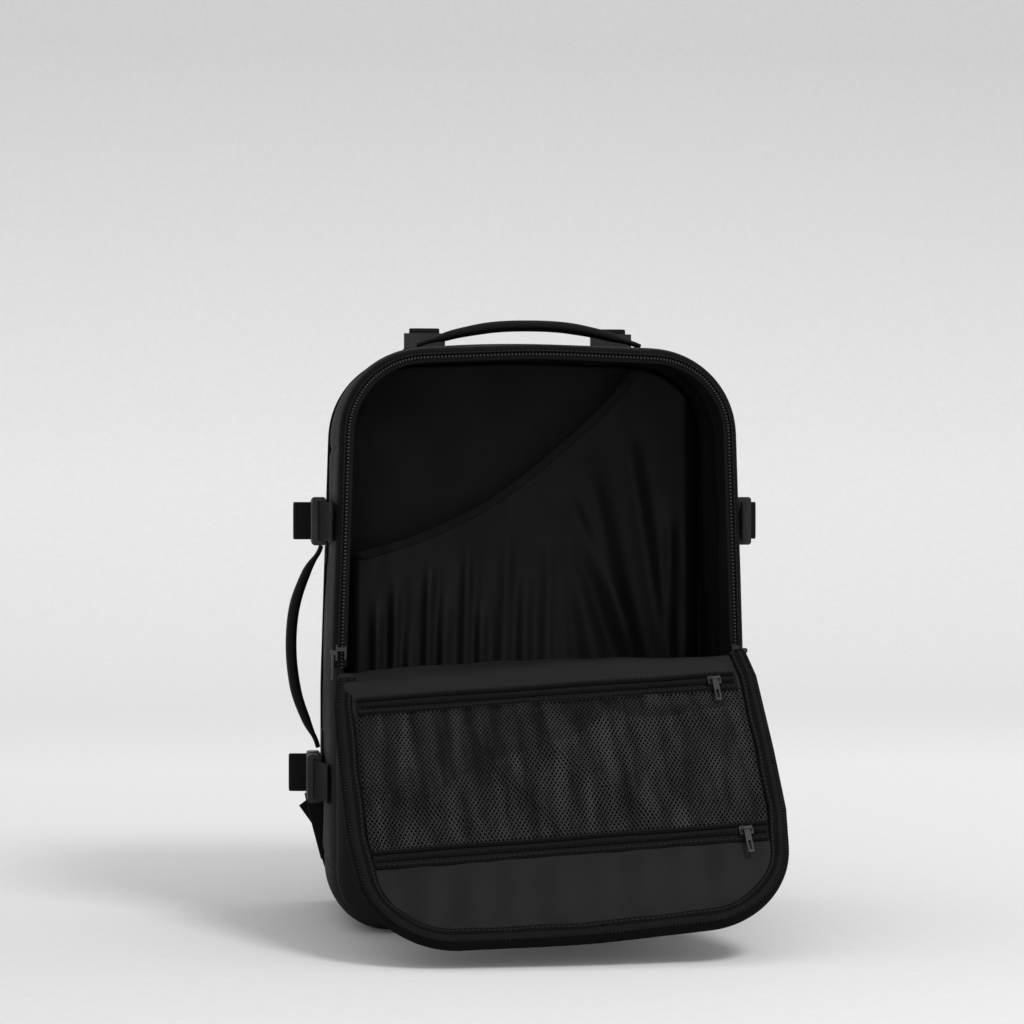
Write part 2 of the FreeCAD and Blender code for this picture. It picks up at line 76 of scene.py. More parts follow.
def add(material, kind, settings=None, links=None):
    """Adds a node: settings are its properties or input values, links its inputs."""
    node = material.node_tree.nodes.new("ShaderNode" + kind)
    for key, value in (settings or {}).items():
        if isinstance(key, str) and hasattr(node, key):
            setattr(node, key, value)
        else:
            node.inputs[key].default_value = value
    for key, source in (links or {}).items():
        material.node_tree.links.new(source, node.inputs[key])
    return node


def new_material(name):
    """A material with its own empty Principled shader, returned with that shader."""
    material = bpy.data.materials.new(name)
    material.use_nodes = True
    return material, material.node_tree.nodes["Principled BSDF"]


def painted_floor():
    """Matt pale paint, with the faint mottle of a rolled coat, and painted shade: greyer high up and
    near the front.
    """
    material, shader = new_material("matt_studio_paint")
    place = add(material, "TexCoord").outputs["Object"]
    mottle = add(material, "TexNoise", {"Scale": 90.0, "Detail": 4.0}, {"Vector": place})
    tone = add(material, "ValToRGB", {}, {"Fac": mottle.outputs["Fac"]})
    tone.color_ramp.elements[0].color = linear("#e2e2e2")
    tone.color_ramp.elements[1].color = linear("#ebebeb")
    # Painted shade: the paint is darkened to 0.78 of its tone high up the wall and again towards the
    # front, standing in for light falling off there.
    axes = add(material, "SeparateXYZ", {}, {"Vector": place})
    high = add(material, "MapRange", {"From Min": 0.35, "From Max": 1.3, "To Min": 1.0,
                                      "To Max": 0.78}, {"Value": axes.outputs["Z"]})
    near = add(material, "MapRange", {"From Min": -0.2, "From Max": 1.2, "To Min": 0.78,
                                      "To Max": 1.0}, {"Value": axes.outputs["Y"]})
    painted_shade_grade = add(material, "Math", {"operation": "MULTIPLY"}, {0: high.outputs[0], 1: near.outputs[0]})
    shaded = add(material, "VectorMath", {"operation": "SCALE"},
                 {0: tone.outputs["Color"], "Scale": painted_shade_grade.outputs[0]})
    material.node_tree.links.new(shaded.outputs[0], shader.inputs["Base Color"])
    shader.inputs["Roughness"].default_value = 0.85
    shader.inputs["Specular IOR Level"].default_value = 0.2
    return material


SWEEP_HALF, SWEEP_FRONT, SWEEP_BACK, SWEEP_RADIUS, SWEEP_TOP = 5.0, -4.5, 2.2, 1.6, 4.5
bpy.ops.object.select_all(action="DESELECT")
bpy.ops.mesh.primitive_grid_add(x_subdivisions=2, y_subdivisions=60, size=2)
sweep = bpy.context.object
sweep.name = "studio_sweep"
flat_run = SWEEP_BACK - SWEEP_FRONT
arc_run = SWEEP_RADIUS * math.pi / 2
whole_run = flat_run + arc_run + SWEEP_TOP
for vertex in sweep.data.vertices:
    reach = (vertex.co.y + 1) / 2 * whole_run
    turn = min(max(reach - flat_run, 0), arc_run) / SWEEP_RADIUS
    rise = max(reach - flat_run - arc_run, 0)
    y = SWEEP_FRONT + min(reach, flat_run) + SWEEP_RADIUS * math.sin(turn)
    vertex.co = (vertex.co.x * SWEEP_HALF, y, SWEEP_RADIUS * (1 - math.cos(turn)) + rise)
bpy.ops.object.shade_smooth()
sweep.data.materials.append(painted_floor())


def soft_lamp(name, place, aim, size, power):
    bpy.ops.object.light_add(type="AREA", location=place)
    lamp = bpy.context.object
    lamp.name = name
    lamp.data.size = size
    lamp.data.energy = power
    lamp.rotation_euler = (Vector(aim) - Vector(place)).to_track_quat("-Z", "Y").to_euler()


soft_lamp("key_lamp", (1.15, -1.55, 2.3), (0.0, 0.0, 0.1), 0.7, 44)
soft_lamp("fill_lamp", (-0.7, -3.2, 0.55), (0.0, -0.2, 0.05), 1.2, 12)
world = bpy.data.worlds.new("studio_air")
world.use_nodes = True
world.node_tree.nodes["Background"].inputs["Color"].default_value = (1, 1, 1, 1)
world.node_tree.nodes["Background"].inputs["Strength"].default_value = 0.95
bpy.context.scene.world = world
bpy.context.scene.view_settings.view_transform = "Standard"

# ---- body walls ----
# Four padded panels of coated polyester over foam, sewn edge to edge into the bag's
# band. Each is cut to the body's outline and rolls inwards at the front rim.
back_face = np.array([v.co for v in frame["nodes"]["back_panel"].data.vertices]) / MM
back_face = back_face[back_face[:, 1] > back_face[:, 1].max() - 0.1][:, [0, 2]]
corners = np.unique(np.vstack([back_face.round(2), [[0, 0]]]), axis=0)
centre = (corners.min(0) + corners.max(0)) / 2
bearing = np.arctan2(corners[:, 0] - centre[0], centre[1] - corners[:, 1]) % (2 * math.pi)
corners = corners[np.argsort(bearing)]
corners = np.vstack([corners, corners[:1]])
reach = np.concatenate([[0], np.cumsum(np.linalg.norm(np.diff(corners, axis=0), axis=1))])
OUTLINE_LENGTH = reach[-1]
SHARES = np.linspace(0, 1, 1601)
outline = np.stack([np.interp(SHARES * OUTLINE_LENGTH, reach, corners[:, k]) for k in (0, 1)])
soften = np.ones(13) / 13
outline = np.stack([np.convolve(np.concatenate([row[-7:-1], row, row[1:7]]), soften, "valid")
                    for row in outline])
tangent = np.gradient(outline, axis=1)
tangent /= np.linalg.norm(tangent, axis=0)
outward = np.stack([tangent[1], -tangent[0]])


def around(share, inset):
    """x and z at a share of the body's outline, from its base middle, moved inwards."""
    turn = np.asarray(share) % 1.0
    return [np.interp(turn, SHARES, outline[k]) - inset * np.interp(turn, SHARES, outward[k])
            for k in (0, 1)]


def share_at(height):
    """The outline's share at a height on its right side. The left side's is its negative."""
    half = len(SHARES) // 2
    return float(np.interp(height, outline[1][:half], SHARES[:half]))


def flowing(points, share, loop=False):
    """Points at each share of a smooth curve through the given ones."""
    run = np.array(points, float)
    if loop:
        run = np.vstack([run[-1], run, run[:2]])
    else:
        run = np.vstack([2 * run[0] - run[1], run, 2 * run[-1] - run[-2]])
    lengths = np.linalg.norm(np.diff(run[1:-1], axis=0), axis=1)
    steps = np.concatenate([[0], np.cumsum(lengths)]) / lengths.sum()
    k = np.clip(np.searchsorted(steps, share, side="right") - 1, 0, len(lengths) - 1)
    f = ((share - steps[k]) / (steps[k + 1] - steps[k]))[:, None]
    a, b, c, d = run[k], run[k + 1], run[k + 2], run[k + 3]
    return b + 0.5 * f * ((c - a) + f * ((2 * a - 5 * b + 4 * c - d) + f * (3 * (b - c) + d - a)))


def laid_cloth(name, columns, rows, place, flat):
    """A grid of quads put where place(u, v) says, in mm, with flat(u, v) as its cut."""
    bpy.ops.object.select_all(action="DESELECT")
    bpy.ops.mesh.primitive_grid_add(x_subdivisions=columns, y_subdivisions=rows, size=2)
    piece = bpy.context.object
    piece.name = piece.data.name = name
    mesh = piece.data
    places = np.empty(len(mesh.vertices) * 3)
    mesh.vertices.foreach_get("co", places)
    u, v = ((places.reshape(-1, 3)[:, :2].T + 1) / 2).clip(0, 1)
    points = np.stack(np.broadcast_arrays(*place(u, v)), axis=1) * MM
    mesh.vertices.foreach_set("co", points.ravel())
    cut = np.stack(np.broadcast_arrays(*flat(u, v)), axis=1) * MM
    ends = np.empty(len(mesh.loops), int)
    mesh.loops.foreach_get("vertex_index", ends)
    mesh.uv_layers[0].data.foreach_set("uv", cut[ends].ravel())
    mesh.update()
    bpy.ops.object.shade_smooth()
    return piece


def sewn(piece, gap=0.02):
    """Joins edges that meet, fills open ends and turns every face outwards."""
    bpy.ops.object.select_all(action="DESELECT")
    piece.select_set(True)
    bpy.context.view_layer.objects.active = piece
    bpy.ops.object.mode_set(mode="EDIT")
    bpy.ops.mesh.select_all(action="SELECT")
    bpy.ops.mesh.remove_doubles(threshold=gap * MM)
    bpy.ops.mesh.fill_holes(sides=0)
    bpy.ops.mesh.select_all(action="SELECT")
    bpy.ops.mesh.normals_make_consistent(inside=False)
    bpy.ops.object.mode_set(mode="OBJECT")
    return piece


def ring(name, start, end, section, columns, rows, swell=None, lay=lambda x, z, y: (x, y, z)):
    """A closed band along the outline. section is its (inset, y) shape, which swell
    moves and lay puts in place."""
    span = abs(end - start) * OUTLINE_LENGTH
    girth = np.linalg.norm(np.diff(np.array(section), axis=0), axis=1).sum()

    def place(u, v):
        inset, y = flowing(section, v, loop=True).T
        share = start + u * (end - start)
        if swell:
            inset = inset + swell(share, y, inset)
        x, z = around(share, inset)
        return lay(x, z, y)

    return sewn(laid_cloth(name, columns, rows, place, lambda u, v: (u * span, v * girth)))


def dress(piece, material, slot, body, *nodes):
    """Gives a piece its cloth, its body and the plain solids that it stands for."""
    piece.data.materials.clear()
    piece.data.materials.append(material)
    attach(piece, body)
    if nodes:
        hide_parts(*nodes)
    return piece


def woven(name, colour, thread, relief=0.3, rough=(0.75, 0.95), sheen=0.1, ribs=False,
          weave_shade_and_mottle=0.35, stitches=(), stitch_colour="#3a3a3b", specular=0.3):
    """Cloth of crossed threads (or ribs along the cut's width) with rows of stitches.

    thread is the spacing in mm; stitches are rows at those distances across the cut, mm."""
    material, shader = new_material(name)
    cut = add(material, "TexCoord").outputs["UV"]
    axes = add(material, "SeparateXYZ", {}, {"Vector": cut})
    waves = []
    for axis in ("X", "Y"):
        turns = add(material, "Math", {"operation": "MULTIPLY", 1: 2 * math.pi / (thread * MM)},
                    {0: axes.outputs[axis]})
        waves.append(add(material, "Math", {"operation": "SINE"}, {0: turns.outputs[0]}).outputs[0])
    if ribs:
        weave = waves[0]
    else:
        weave = add(material, "Math", {"operation": "MULTIPLY"}, {0: waves[0], 1: waves[1]}).outputs[0]
    fibre = add(material, "TexNoise", {"Scale": 0.6 / (thread * MM), "Detail": 3.0}, {"Vector": cut})
    cloudy = add(material, "TexNoise", {"Scale": 14.0, "Detail": 5.0, "Roughness": 0.6},
                 {"Vector": add(material, "TexCoord").outputs["Object"]})
    height = add(material, "Math", {"operation": "MULTIPLY_ADD", 1: 0.5},
                 {0: weave, 2: fibre.outputs["Fac"]})
    # Painted shade in the weave: its hollows are painted darker and its crests lighter, following the
    # height that also drives the bump. The cloudy noise below adds a random mottle of real tone.
    shade = add(material, "MapRange", {"From Min": -0.1, "From Max": 1.2, "To Min": 1 - weave_shade_and_mottle,
                                       "To Max": 1 + weave_shade_and_mottle}, {"Value": height.outputs[0]})
    cloud = add(material, "MapRange", {"From Min": 0.3, "From Max": 0.7, "To Min": 1 - weave_shade_and_mottle / 2,
                                       "To Max": 1 + weave_shade_and_mottle / 2}, {"Value": cloudy.outputs["Fac"]})
    level = add(material, "Math", {"operation": "MULTIPLY"},
                {0: shade.outputs[0], 1: cloud.outputs[0]})
    tone = add(material, "VectorMath", {"operation": "SCALE", 0: linear(colour)[:3]},
               {"Scale": level.outputs[0]})
    colour_out, relief_out = tone.outputs[0], height.outputs[0]
    for row in stitches:
        beside = add(material, "Math", {"operation": "COMPARE", 1: row * MM, 2: 0.55 * MM},
                     {0: axes.outputs["Y"]})
        along = add(material, "Math", {"operation": "PINGPONG", 1: 1.9 * MM}, {0: axes.outputs["X"]})
        dash = add(material, "Math", {"operation": "GREATER_THAN", 1: 0.55 * MM}, {0: along.outputs[0]})
        thread_on = add(material, "Math", {"operation": "MULTIPLY"},
                        {0: beside.outputs[0], 1: dash.outputs[0]})
        mixed = add(material, "Mix", {"data_type": "RGBA", 7: linear(stitch_colour)},
                    {0: thread_on.outputs[0], 6: colour_out})
        colour_out = mixed.outputs[2]
        relief_out = add(material, "Math", {"operation": "MULTIPLY_ADD", 1: 2.0},
                         {0: thread_on.outputs[0], 2: relief_out}).outputs[0]
    rub = add(material, "MapRange", {"From Min": 0.3, "From Max": 0.7, "To Min": rough[0],
                                     "To Max": rough[1]}, {"Value": cloudy.outputs["Fac"]})
    bump = add(material, "Bump", {"Strength": relief, "Distance": 0.4 * thread * MM},
               {"Height": relief_out})
    links = material.node_tree.links
    links.new(colour_out, shader.inputs["Base Color"])
    links.new(rub.outputs[0], shader.inputs["Roughness"])
    links.new(bump.outputs[0], shader.inputs["Normal"])
    shader.inputs["Specular IOR Level"].default_value = specular
    shader.inputs["Sheen Weight"].default_value = sheen
    shader.inputs["Sheen Roughness"].default_value = 0.5
    return material


# Coated woven polyester, 600 denier: a matt charcoal cloth with a fine plain weave.
shell_cloth = woven("coated_polyester_cloth", "#1e1e1f", 1.1, relief=0.35, rough=(0.55, 0.75),
                    sheen=0.0, weave_shade_and_mottle=0.16, specular=0.05)
RIM_Y = -85.0
WALL_SECTION = [(9.4, -83.6), (7.6, -85.2), (5.6, -85.1), (4.2, -83.6), (2.6, -81.0), (0.9, -77.0),
                (-0.4, -70.0), (-1.4, -54.0), (-1.9, -25.0), (-2.0, 8.0), (-1.6, 42.0), (-0.6, 68.0),
                (0.4, 80.0), (1.6, 84.6), (4.0, 84.6), (5.0, 78.0), (5.0, 30.0), (5.0, -30.0),
                (5.0, -72.0), (6.4, -78.0), (8.6, -81.6)]
side_low, side_high = share_at(48), share_at(372)
wall_seams = [side_low, side_high, 1 - side_high, 1 - side_low]


def wall_swell(share, y, inset):
    """The cloth dips into each seam and lies in shallow, uneven waves between them."""
    dip = 0
    for seam in wall_seams:
        away = np.abs((share % 1.0) - seam) * OUTLINE_LENGTH
        dip = dip + 1.5 * np.exp(-(away / 3.0) ** 2)
    outer = inset < 4.0
    run = share * OUTLINE_LENGTH
    wave = 0.5 * np.sin(run / 31 + y / 40) + 0.35 * np.sin(run / 17 - y / 23 + 1.3)
    fade = np.clip((y + 80) / 30, 0, 1) * np.clip((82 - y) / 20, 0, 1)
    return outer * (dip + wave * fade)


for wall, node, start, end, columns in (
        ("base_wall", "base_panel", -side_low, side_low, 150),
        ("right_wall", "right_side_panel", side_low, side_high, 130),
        ("top_wall", "top_panel", side_high, 1 - side_high, 170),
        ("left_wall", "left_side_panel", 1 - side_high, 1 - side_low, 130)):
    panel = ring(wall, start, end, WALL_SECTION, columns, 84, wall_swell)
    dress(panel, shell_cloth, "shell_fabric", "main_body", node)

# ---- lower front ----
# The fixed part of the front below the fold: the same padded cloth, a shallow pillow
# closed with a lining inside.
CORNER_LOW, CORNER_HIGH = share_at(14), share_at(430)


def cut_out(u, v, inset, low=None, high=None):
    """x and z of a panel cut to the body's outline, or square at the heights given."""
    base = CORNER_LOW if low is None else share_at(low)
    top = CORNER_HIGH if high is None else share_at(high)

    def rim(share):
        return np.array(around(share + 0 * u, inset))

    left, right = rim(-(base + v * (top - base))), rim(base + v * (top - base))
    low_left, low_right, top_left, top_right = rim(-base), rim(base), rim(-top), rim(top)
    lower = rim((2 * u - 1) * base) if low is None else low_left + u * (low_right - low_left)
    if high is None:
        upper = rim(1 - top - u * (1 - 2 * top))
    else:
        upper = top_left + u * (top_right - top_left)
    return ((1 - v) * lower + v * upper + (1 - u) * left + u * right
            - (1 - u) * ((1 - v) * low_left + v * top_left) - u * ((1 - v) * low_right + v * top_right))


def pillow(name, columns, rows, size, plan, lay, front, back, edge):
    """A closed pad. plan(u, v) is its cut, lay(a, b, h) puts it in place, front and back
    are its faces' heights h, and its edges are rounded over the distance edge, in mm."""
    faces = []
    for side in (front, back):
        def place(u, v, side=side):
            p, q = [0.55 * (0.5 - 0.5 * np.cos(math.pi * w)) + 0.45 * w for w in (u, v)]
            across, along = np.minimum(p, 1 - p) * size[0], np.minimum(q, 1 - q) * size[1]
            away = 1 / np.sqrt(1 / np.maximum(across, 1e-6) ** 2 + 1 / np.maximum(along, 1e-6) ** 2)
            full = np.sqrt(1 - (1 - np.clip(away / edge, 0, 1)) ** 2)
            a, b = plan(p, q)
            middle = (front(p, q, a, b) + back(p, q, a, b)) / 2
            return lay(a, b, middle + (side(p, q, a, b) - middle) * full)

        def flat(u, v):
            p, q = [0.55 * (0.5 - 0.5 * np.cos(math.pi * w)) + 0.45 * w for w in (u, v)]
            return plan(p, q)

        faces.append(laid_cloth(name, columns, rows, place, flat))
    bpy.ops.object.select_all(action="DESELECT")
    for face in faces:
        face.select_set(True)
    bpy.context.view_layer.objects.active = faces[0]
    bpy.ops.object.join()
    faces[0].name = name
    return sewn(faces[0], 0.05)


FRONT_Y, FOLD_Z = -100.0, 199.5
lower_front = pillow(
    "lower_front", 90, 60, (310, 200), lambda u, v: cut_out(u, v, 5.0, high=FOLD_Z),
    lambda a, b, h: (a, h, b),
    lambda u, v, a, b: FRONT_Y + 1.5 - 1.5 * np.sin(math.pi * u) * np.sin(math.pi * v)
    + 0.5 * np.sin(a / 24 + b / 37), lambda u, v, a, b: RIM_Y - 0.3 + 0 * a, 8)
dress(lower_front, shell_cloth, "shell_fabric", "main_body", "lower_front_panel")

# ---- back panel, pads and piping ----
# The back is a firm padded panel with a piped edge. Two columns and a lumbar pad of
# spacer mesh over foam are quilted onto it.
back = pillow("back_panel_pad", 100, 120, (324, 450), lambda u, v: cut_out(u, v, 0.8),
              lambda a, b, h: (a, h, b),
              lambda u, v, a, b: 85.2 + 0 * a,
              lambda u, v, a, b: 89.6 + 0.5 * np.sin(a / 29) * np.sin(b / 33), 3)
dress(back, shell_cloth, "shell_fabric", "main_body", "back_panel")

# Ribbed polyester tape, black and matt, with one row of stitches in dark grey thread.
binding_cloth = woven("ribbed_grosgrain", "#0c0c0d", 1.3, relief=0.5, rough=(0.65, 0.9), sheen=0.0,
                      specular=0.03, ribs=True, weave_shade_and_mottle=0.25, stitches=(3.0,), stitch_colour="#1d1d1e")


def circle(centre_a, centre_b, radius_a, radius_b, count=12):
    turns = np.linspace(0, 2 * math.pi, count, endpoint=False)
    return [(centre_a + radius_a * math.cos(t), centre_b + radius_b * math.sin(t)) for t in turns]


piping = ring("back_piping", 0, 1, circle(-0.6, 85.4, 2.0, 2.0), 700, 14)
dress(piping, binding_cloth, "binding", "main_body")

# Knitted spacer mesh over foam: a coarse open face that scatters what light it gets.
spacer_mesh = woven("spacer_mesh", "#161617", 3.2, relief=0.9, rough=(0.8, 0.95), sheen=0.02,
                    weave_shade_and_mottle=0.4, specular=0.1)


def quad_cut(corners, u, v, round_off):
    """A four-cornered cut, drawn from its low left corner anticlockwise, corners rounded."""
    p, q = 2 * u - 1, 2 * v - 1
    across = 0.5 + 0.5 * p * np.sqrt(1 - round_off * q ** 2)
    along = 0.5 + 0.5 * q * np.sqrt(1 - round_off * p ** 2)
    low_left, low_right, top_right, top_left = [np.array(c, float)[:, None] for c in corners]
    return ((1 - along) * ((1 - across) * low_left + across * low_right)
            + along * ((1 - across) * top_left + across * top_right))


def quilted(a, b, pitch):
    """The lines that quilt a pad, as dents 1 deep on a square net of the given pitch."""
    return np.maximum(np.exp(-(np.sin(math.pi * (a + b) / pitch) / 0.16) ** 2),
                      np.exp(-(np.sin(math.pi * (a - b) / pitch) / 0.16) ** 2))


PAD_ROOT, PAD_TOP = 89.9, 98.6
pad_cuts = {"back_column_right": ((22, 150), (108, 150), (104, 396), (22, 396)),
            "back_column_left": ((-108, 150), (-22, 150), (-22, 396), (-104, 396)),
            "lumbar_pad": ((-112, 38), (112, 38), (112, 138), (-112, 138))}
for name, corners in pad_cuts.items():
    wide, tall = corners[1][0] - corners[0][0], corners[2][1] - corners[1][1]
    pad = pillow(name, int(wide / 1.8), int(tall / 2.2), (wide, tall),
                 lambda u, v, c=corners: quad_cut(c, u, v, 0.05), lambda a, b, h: (a, h, b),
                 lambda u, v, a, b: PAD_ROOT + 0 * a,
                 lambda u, v, a, b: PAD_TOP - 1.9 * quilted(a, b, 34), 9)
    dress(pad, spacer_mesh, "airmesh", "main_body", *(["back_pads"] if name == "lumbar_pad" else []))

# ---- lining ----
# Smooth thin polyester, dropped into the body and sewn to its rim, with a bound seam
# where its two halves meet. It lies in loose shallow waves.
# Plain woven polyester, thin and smooth, which shows only broad soft shading.
lining_cloth = woven("smooth_polyester_lining", "#121213", 0.9, relief=0.12, rough=(0.6, 0.8),
                     sheen=0.0, weave_shade_and_mottle=0.1, specular=0.15)


def lining_swell(share, y, inset):
    run = share * OUTLINE_LENGTH
    free = np.clip((y + 84) / 40, 0, 1) * np.clip((76 - y) / 30, 0, 1)
    return free * (0.9 + 0.9 * np.sin(run / 26 + y / 33) + 0.5 * np.sin(run / 11 - y / 19))


lining = ring("lining", 0, 1, [(10.2, -85.0), (8.4, -80.5), (6.6, -75.0), (6.2, -50.0), (6.2, 0.0),
                               (6.2, 50.0), (6.2, 76.8), (5.6, 76.8), (5.6, 30.0), (5.6, -30.0),
                               (5.7, -74.0), (8.0, -80.8), (9.7, -84.8)], 420, 60, lining_swell)
dress(lining, lining_cloth, "lining_fabric", "main_body", "compartment_lining")
seam_tape = ring("lining_seam_binding", 0, 1, [(5.9, -12.5), (7.6, -12.6), (8.8, -10.5), (9.0, -8.0),
                                              (8.8, -5.5), (7.6, -3.6), (5.9, -3.7)], 420, 14,
                 lambda share, y, inset: lining_swell(share, -8.0, 0))
dress(seam_tape, binding_cloth, "binding", "main_body", "lining_seam_tape")
rear_wall = pillow("rear_wall_pad", 100, 120, (310, 436), lambda u, v: cut_out(u, v, 7.0),
                   lambda a, b, h: (a, h, b),
                   lambda u, v, a, b: 77.2 - 0.5 * np.sin(a / 37 + 0.6) * np.sin(b / 41),
                   lambda u, v, a, b: 81.9 + 0 * a, 4)
dress(rear_wall, lining_cloth, "lining_fabric", "main_body", "back_wall_pad")
front_lining = pillow("lower_front_inside", 60, 40, (300, 190),
                      lambda u, v: cut_out(u, v, 10.6, high=FOLD_Z - 2), lambda a, b, h: (a, h, b),
                      lambda u, v, a, b: -85.0 + 0 * a,
                      lambda u, v, a, b: -83.8 + 0.4 * np.sin(a / 21) * np.sin(b / 17), 1.2)
dress(front_lining, lining_cloth, "lining_fabric", "main_body", "lower_front_lining")

# ---- sleeve pocket ----
# One piece of the lining cloth, cut wider than the rear wall and gathered to it, so that
# it falls in upright folds. Its slanting top edge is drawn in by a ribbed elastic.
SLEEVE_Y, SLEEVE_FLAT, SLEEVE_HALF = 48.6, 140.0, 148.0
HEM = [(-150, 287), (-132, 290), (-99, 299), (-66, 312), (-33, 328.5), (-0.5, 350.5), (32, 377.5),
       (65, 407), (92, 438), (120, 468), (150, 490)]
FOLDS = [(-122, 40, -119, 262, 4.5, 4.0), (-109, 60, -104, 276, 4.0, 3.4), (-96, 30, -93, 240, 5.0, 3.0),
         (-83, 60, -76, 292, 4.0, 3.8), (-68, 40, -64, 262, 5.0, 3.6), (-52, 30, -45, 306, 4.0, 3.0),
         (-37, 50, -34, 262, 4.5, 3.4), (-22, 30, -12, 316, 5.0, 2.6), (-2, 40, 2, 280, 5.0, 3.0),
         (18, 60, 22, 316, 5.5, 2.6), (38, 40, 30, 300, 6.0, 2.4), (92, 60, 28, 338, 9.0, 4.2),
         (112, 100, 52, 366, 8.0, 3.2), (118, 190, 84, 396, 7.0, 3.0), (122, 40, 121, 330, 5.0, 2.6),
         (60, 30, 62, 200, 7.0, 2.4), (84, 30, 86, 180, 6.0, 2.2), (78, 392, 108, 401, 4.0, 2.6),
         (34, 345, 98, 190, 8.0, 5.0)]
hem_x, hem_z = np.array(HEM, float).T


def sleeve_y(x, z):
    """Depth of the sleeve's cloth: it slants back to the wall at its sides, and folds."""
    beyond = np.maximum(np.abs(x) - SLEEVE_FLAT + 6, 0)
    y = SLEEVE_Y + 28 * (beyond / (SLEEVE_HALF - SLEEVE_FLAT + 8)) ** 1.5
    for x0, z0, x1, z1, width, depth in FOLDS:
        run = np.hypot(x1 - x0, z1 - z0)
        along = ((x - x0) * (x1 - x0) + (z - z0) * (z1 - z0)) / run
        away = ((x - x0) * (z1 - z0) - (z - z0) * (x1 - x0)) / run
        fade = np.clip(along / 40, 0, 1) * np.clip((run - along) / 45, 0, 1)
        fade = fade * fade * (3 - 2 * fade)
        crease = np.exp(-(away / width) ** 2) - 0.4 * np.exp(-((away - 1.9 * width) / width) ** 2)
        y = y - 1.5 * depth * fade * crease
    drop = np.interp(x, hem_x, hem_z) - z
    y = y + 0.7 * np.sin(x / 3.3 + 0.8 * np.sin(x / 17)) * np.exp(-np.maximum(drop, 0) / 16)
    return y + 0.5 * np.sin(x / 12 + z / 45)


def sleeve_place(u, v):
    x = (2 * u - 1) * SLEEVE_HALF
    top_x, top_z = around(np.linspace(0.25, 0.5, 200), 9.5)
    low_x, low_z = around(np.linspace(0.0, 0.25, 200), 9.5)
    ceiling = np.interp(np.abs(x), top_x[::-1], top_z[::-1])
    ground = np.maximum(np.interp(np.abs(x), low_x, low_z), 12.5)
    top = np.minimum(flowing(HEM, np.interp(x, hem_x, hem_reach))[:, 1], ceiling)
    z = ground + v * (top - ground)
    return x, np.minimum(sleeve_y(x, z), 76.6), z


hem_reach = np.concatenate([[0], np.cumsum(np.hypot(np.diff(hem_x), np.diff(hem_z)))])
hem_reach /= hem_reach[-1]
sleeve = laid_cloth("sleeve_cloth", 250, 180, sleeve_place,
                    lambda u, v: ((2 * u - 1) * SLEEVE_HALF, v * 400))
thicken = sleeve.modifiers.new("cloth_thickness", "SOLIDIFY")
thicken.thickness = 0.0009
thicken.offset = 0
bpy.ops.object.modifier_apply(modifier=thicken.name)
sewn(sleeve, 0.01)
dress(sleeve, lining_cloth, "lining_fabric", "main_body", "sleeve_pocket")

# Woven elastic with fine ribs across its width, a little greyer than the lining.
elastic = woven("ribbed_elastic", "#161617", 1.0, relief=0.5, rough=(0.7, 0.9), sheen=0.02, ribs=True,
                weave_shade_and_mottle=0.2, specular=0.12)


def strap(name, path, across, half_width, half_thick, columns, rows, square=0.4):
    """A band along a smooth path. across is the direction of its width; half_width and
    half_thick may change along it; square is 1 for a round section, near 0 for flat."""
    def place(u, v):
        line = flowing(path, u)
        ahead = flowing(path, np.clip(u + 1e-3, 0, 1)) - flowing(path, np.clip(u - 1e-3, 0, 1))
        ahead /= np.linalg.norm(ahead, axis=1)[:, None]
        side = np.array(across, float) - ahead * (ahead @ np.array(across, float))[:, None]
        side /= np.linalg.norm(side, axis=1)[:, None]
        lift = np.cross(ahead, side)
        turn = 2 * math.pi * v
        wide = np.sign(np.cos(turn)) * np.abs(np.cos(turn)) ** square
        high = np.sign(np.sin(turn)) * np.abs(np.sin(turn)) ** square
        w = np.interp(u, *zip(*half_width)) if isinstance(half_width, list) else half_width
        t = np.interp(u, *zip(*half_thick)) if isinstance(half_thick, list) else half_thick
        return (line + side * (wide * w)[:, None] + lift * (high * t)[:, None]).T

    points = np.array(path, float)
    length = np.linalg.norm(np.diff(points, axis=0), axis=1).sum()
    width = max(w for _, w in half_width) if isinstance(half_width, list) else half_width
    return sewn(laid_cloth(name, columns, rows, place,
                           lambda u, v: (u * length, 2 * width * (1 - np.cos(2 * math.pi * v)) / 2)))


HEM_ENDS = (-138, 124)
hem_line = flowing(HEM, np.linspace(*np.interp(HEM_ENDS, hem_x, hem_reach), 70))
hem_path = [(x, float(sleeve_y(np.array([x]), np.array([z]))[0]) - 0.9, z - 3.6) for x, z in hem_line]
hem_path = [point for point in hem_path if point[2] < 439]
hem_band = strap("sleeve_hem", hem_path, (0.5, 0, -0.86), 3.6, 0.9, 260, 12)
dress(hem_band, elastic, "elastic", "main_body", "sleeve_hem_elastic")

# ---- rim: binding, zip tape and teeth ----
# A ribbed binding edges the opening. Inside it runs one half of a moulded-tooth zip: a
# woven tape with a row of separate plastic teeth.
RIM_START = share_at(203.5)
rim_binding = ring("rim_edge_binding", RIM_START, 1 - RIM_START,
                   [(7.0, -85.2), (6.9, -86.6), (6.0, -87.3), (4.6, -86.9), (3.0, -84.6), (1.6, -81.0),
                    (1.2, -79.2), (2.4, -79.6), (4.4, -83.6), (5.8, -84.2)], 420, 20)
dress(rim_binding, binding_cloth, "binding", "main_body", "rim_binding")
# Woven polyester zip tape, flat black.
tape_cloth = woven("woven_zip_tape", "#0e0e0f", 0.9, relief=0.3, rough=(0.7, 0.9), sheen=0.0, weave_shade_and_mottle=0.2,
                   specular=0.08)
rim_tape = ring("rim_zip_tape", RIM_START, 1 - RIM_START,
                [(6.6, -85.4), (9.0, -86.0), (12.0, -85.6), (12.4, -85.2), (12.0, -85.0),
                 (9.0, -85.4), (6.6, -85.0)], 420, 14)
dress(rim_tape, tape_cloth, "zip_tape", "main_body", "body_zip_tape")


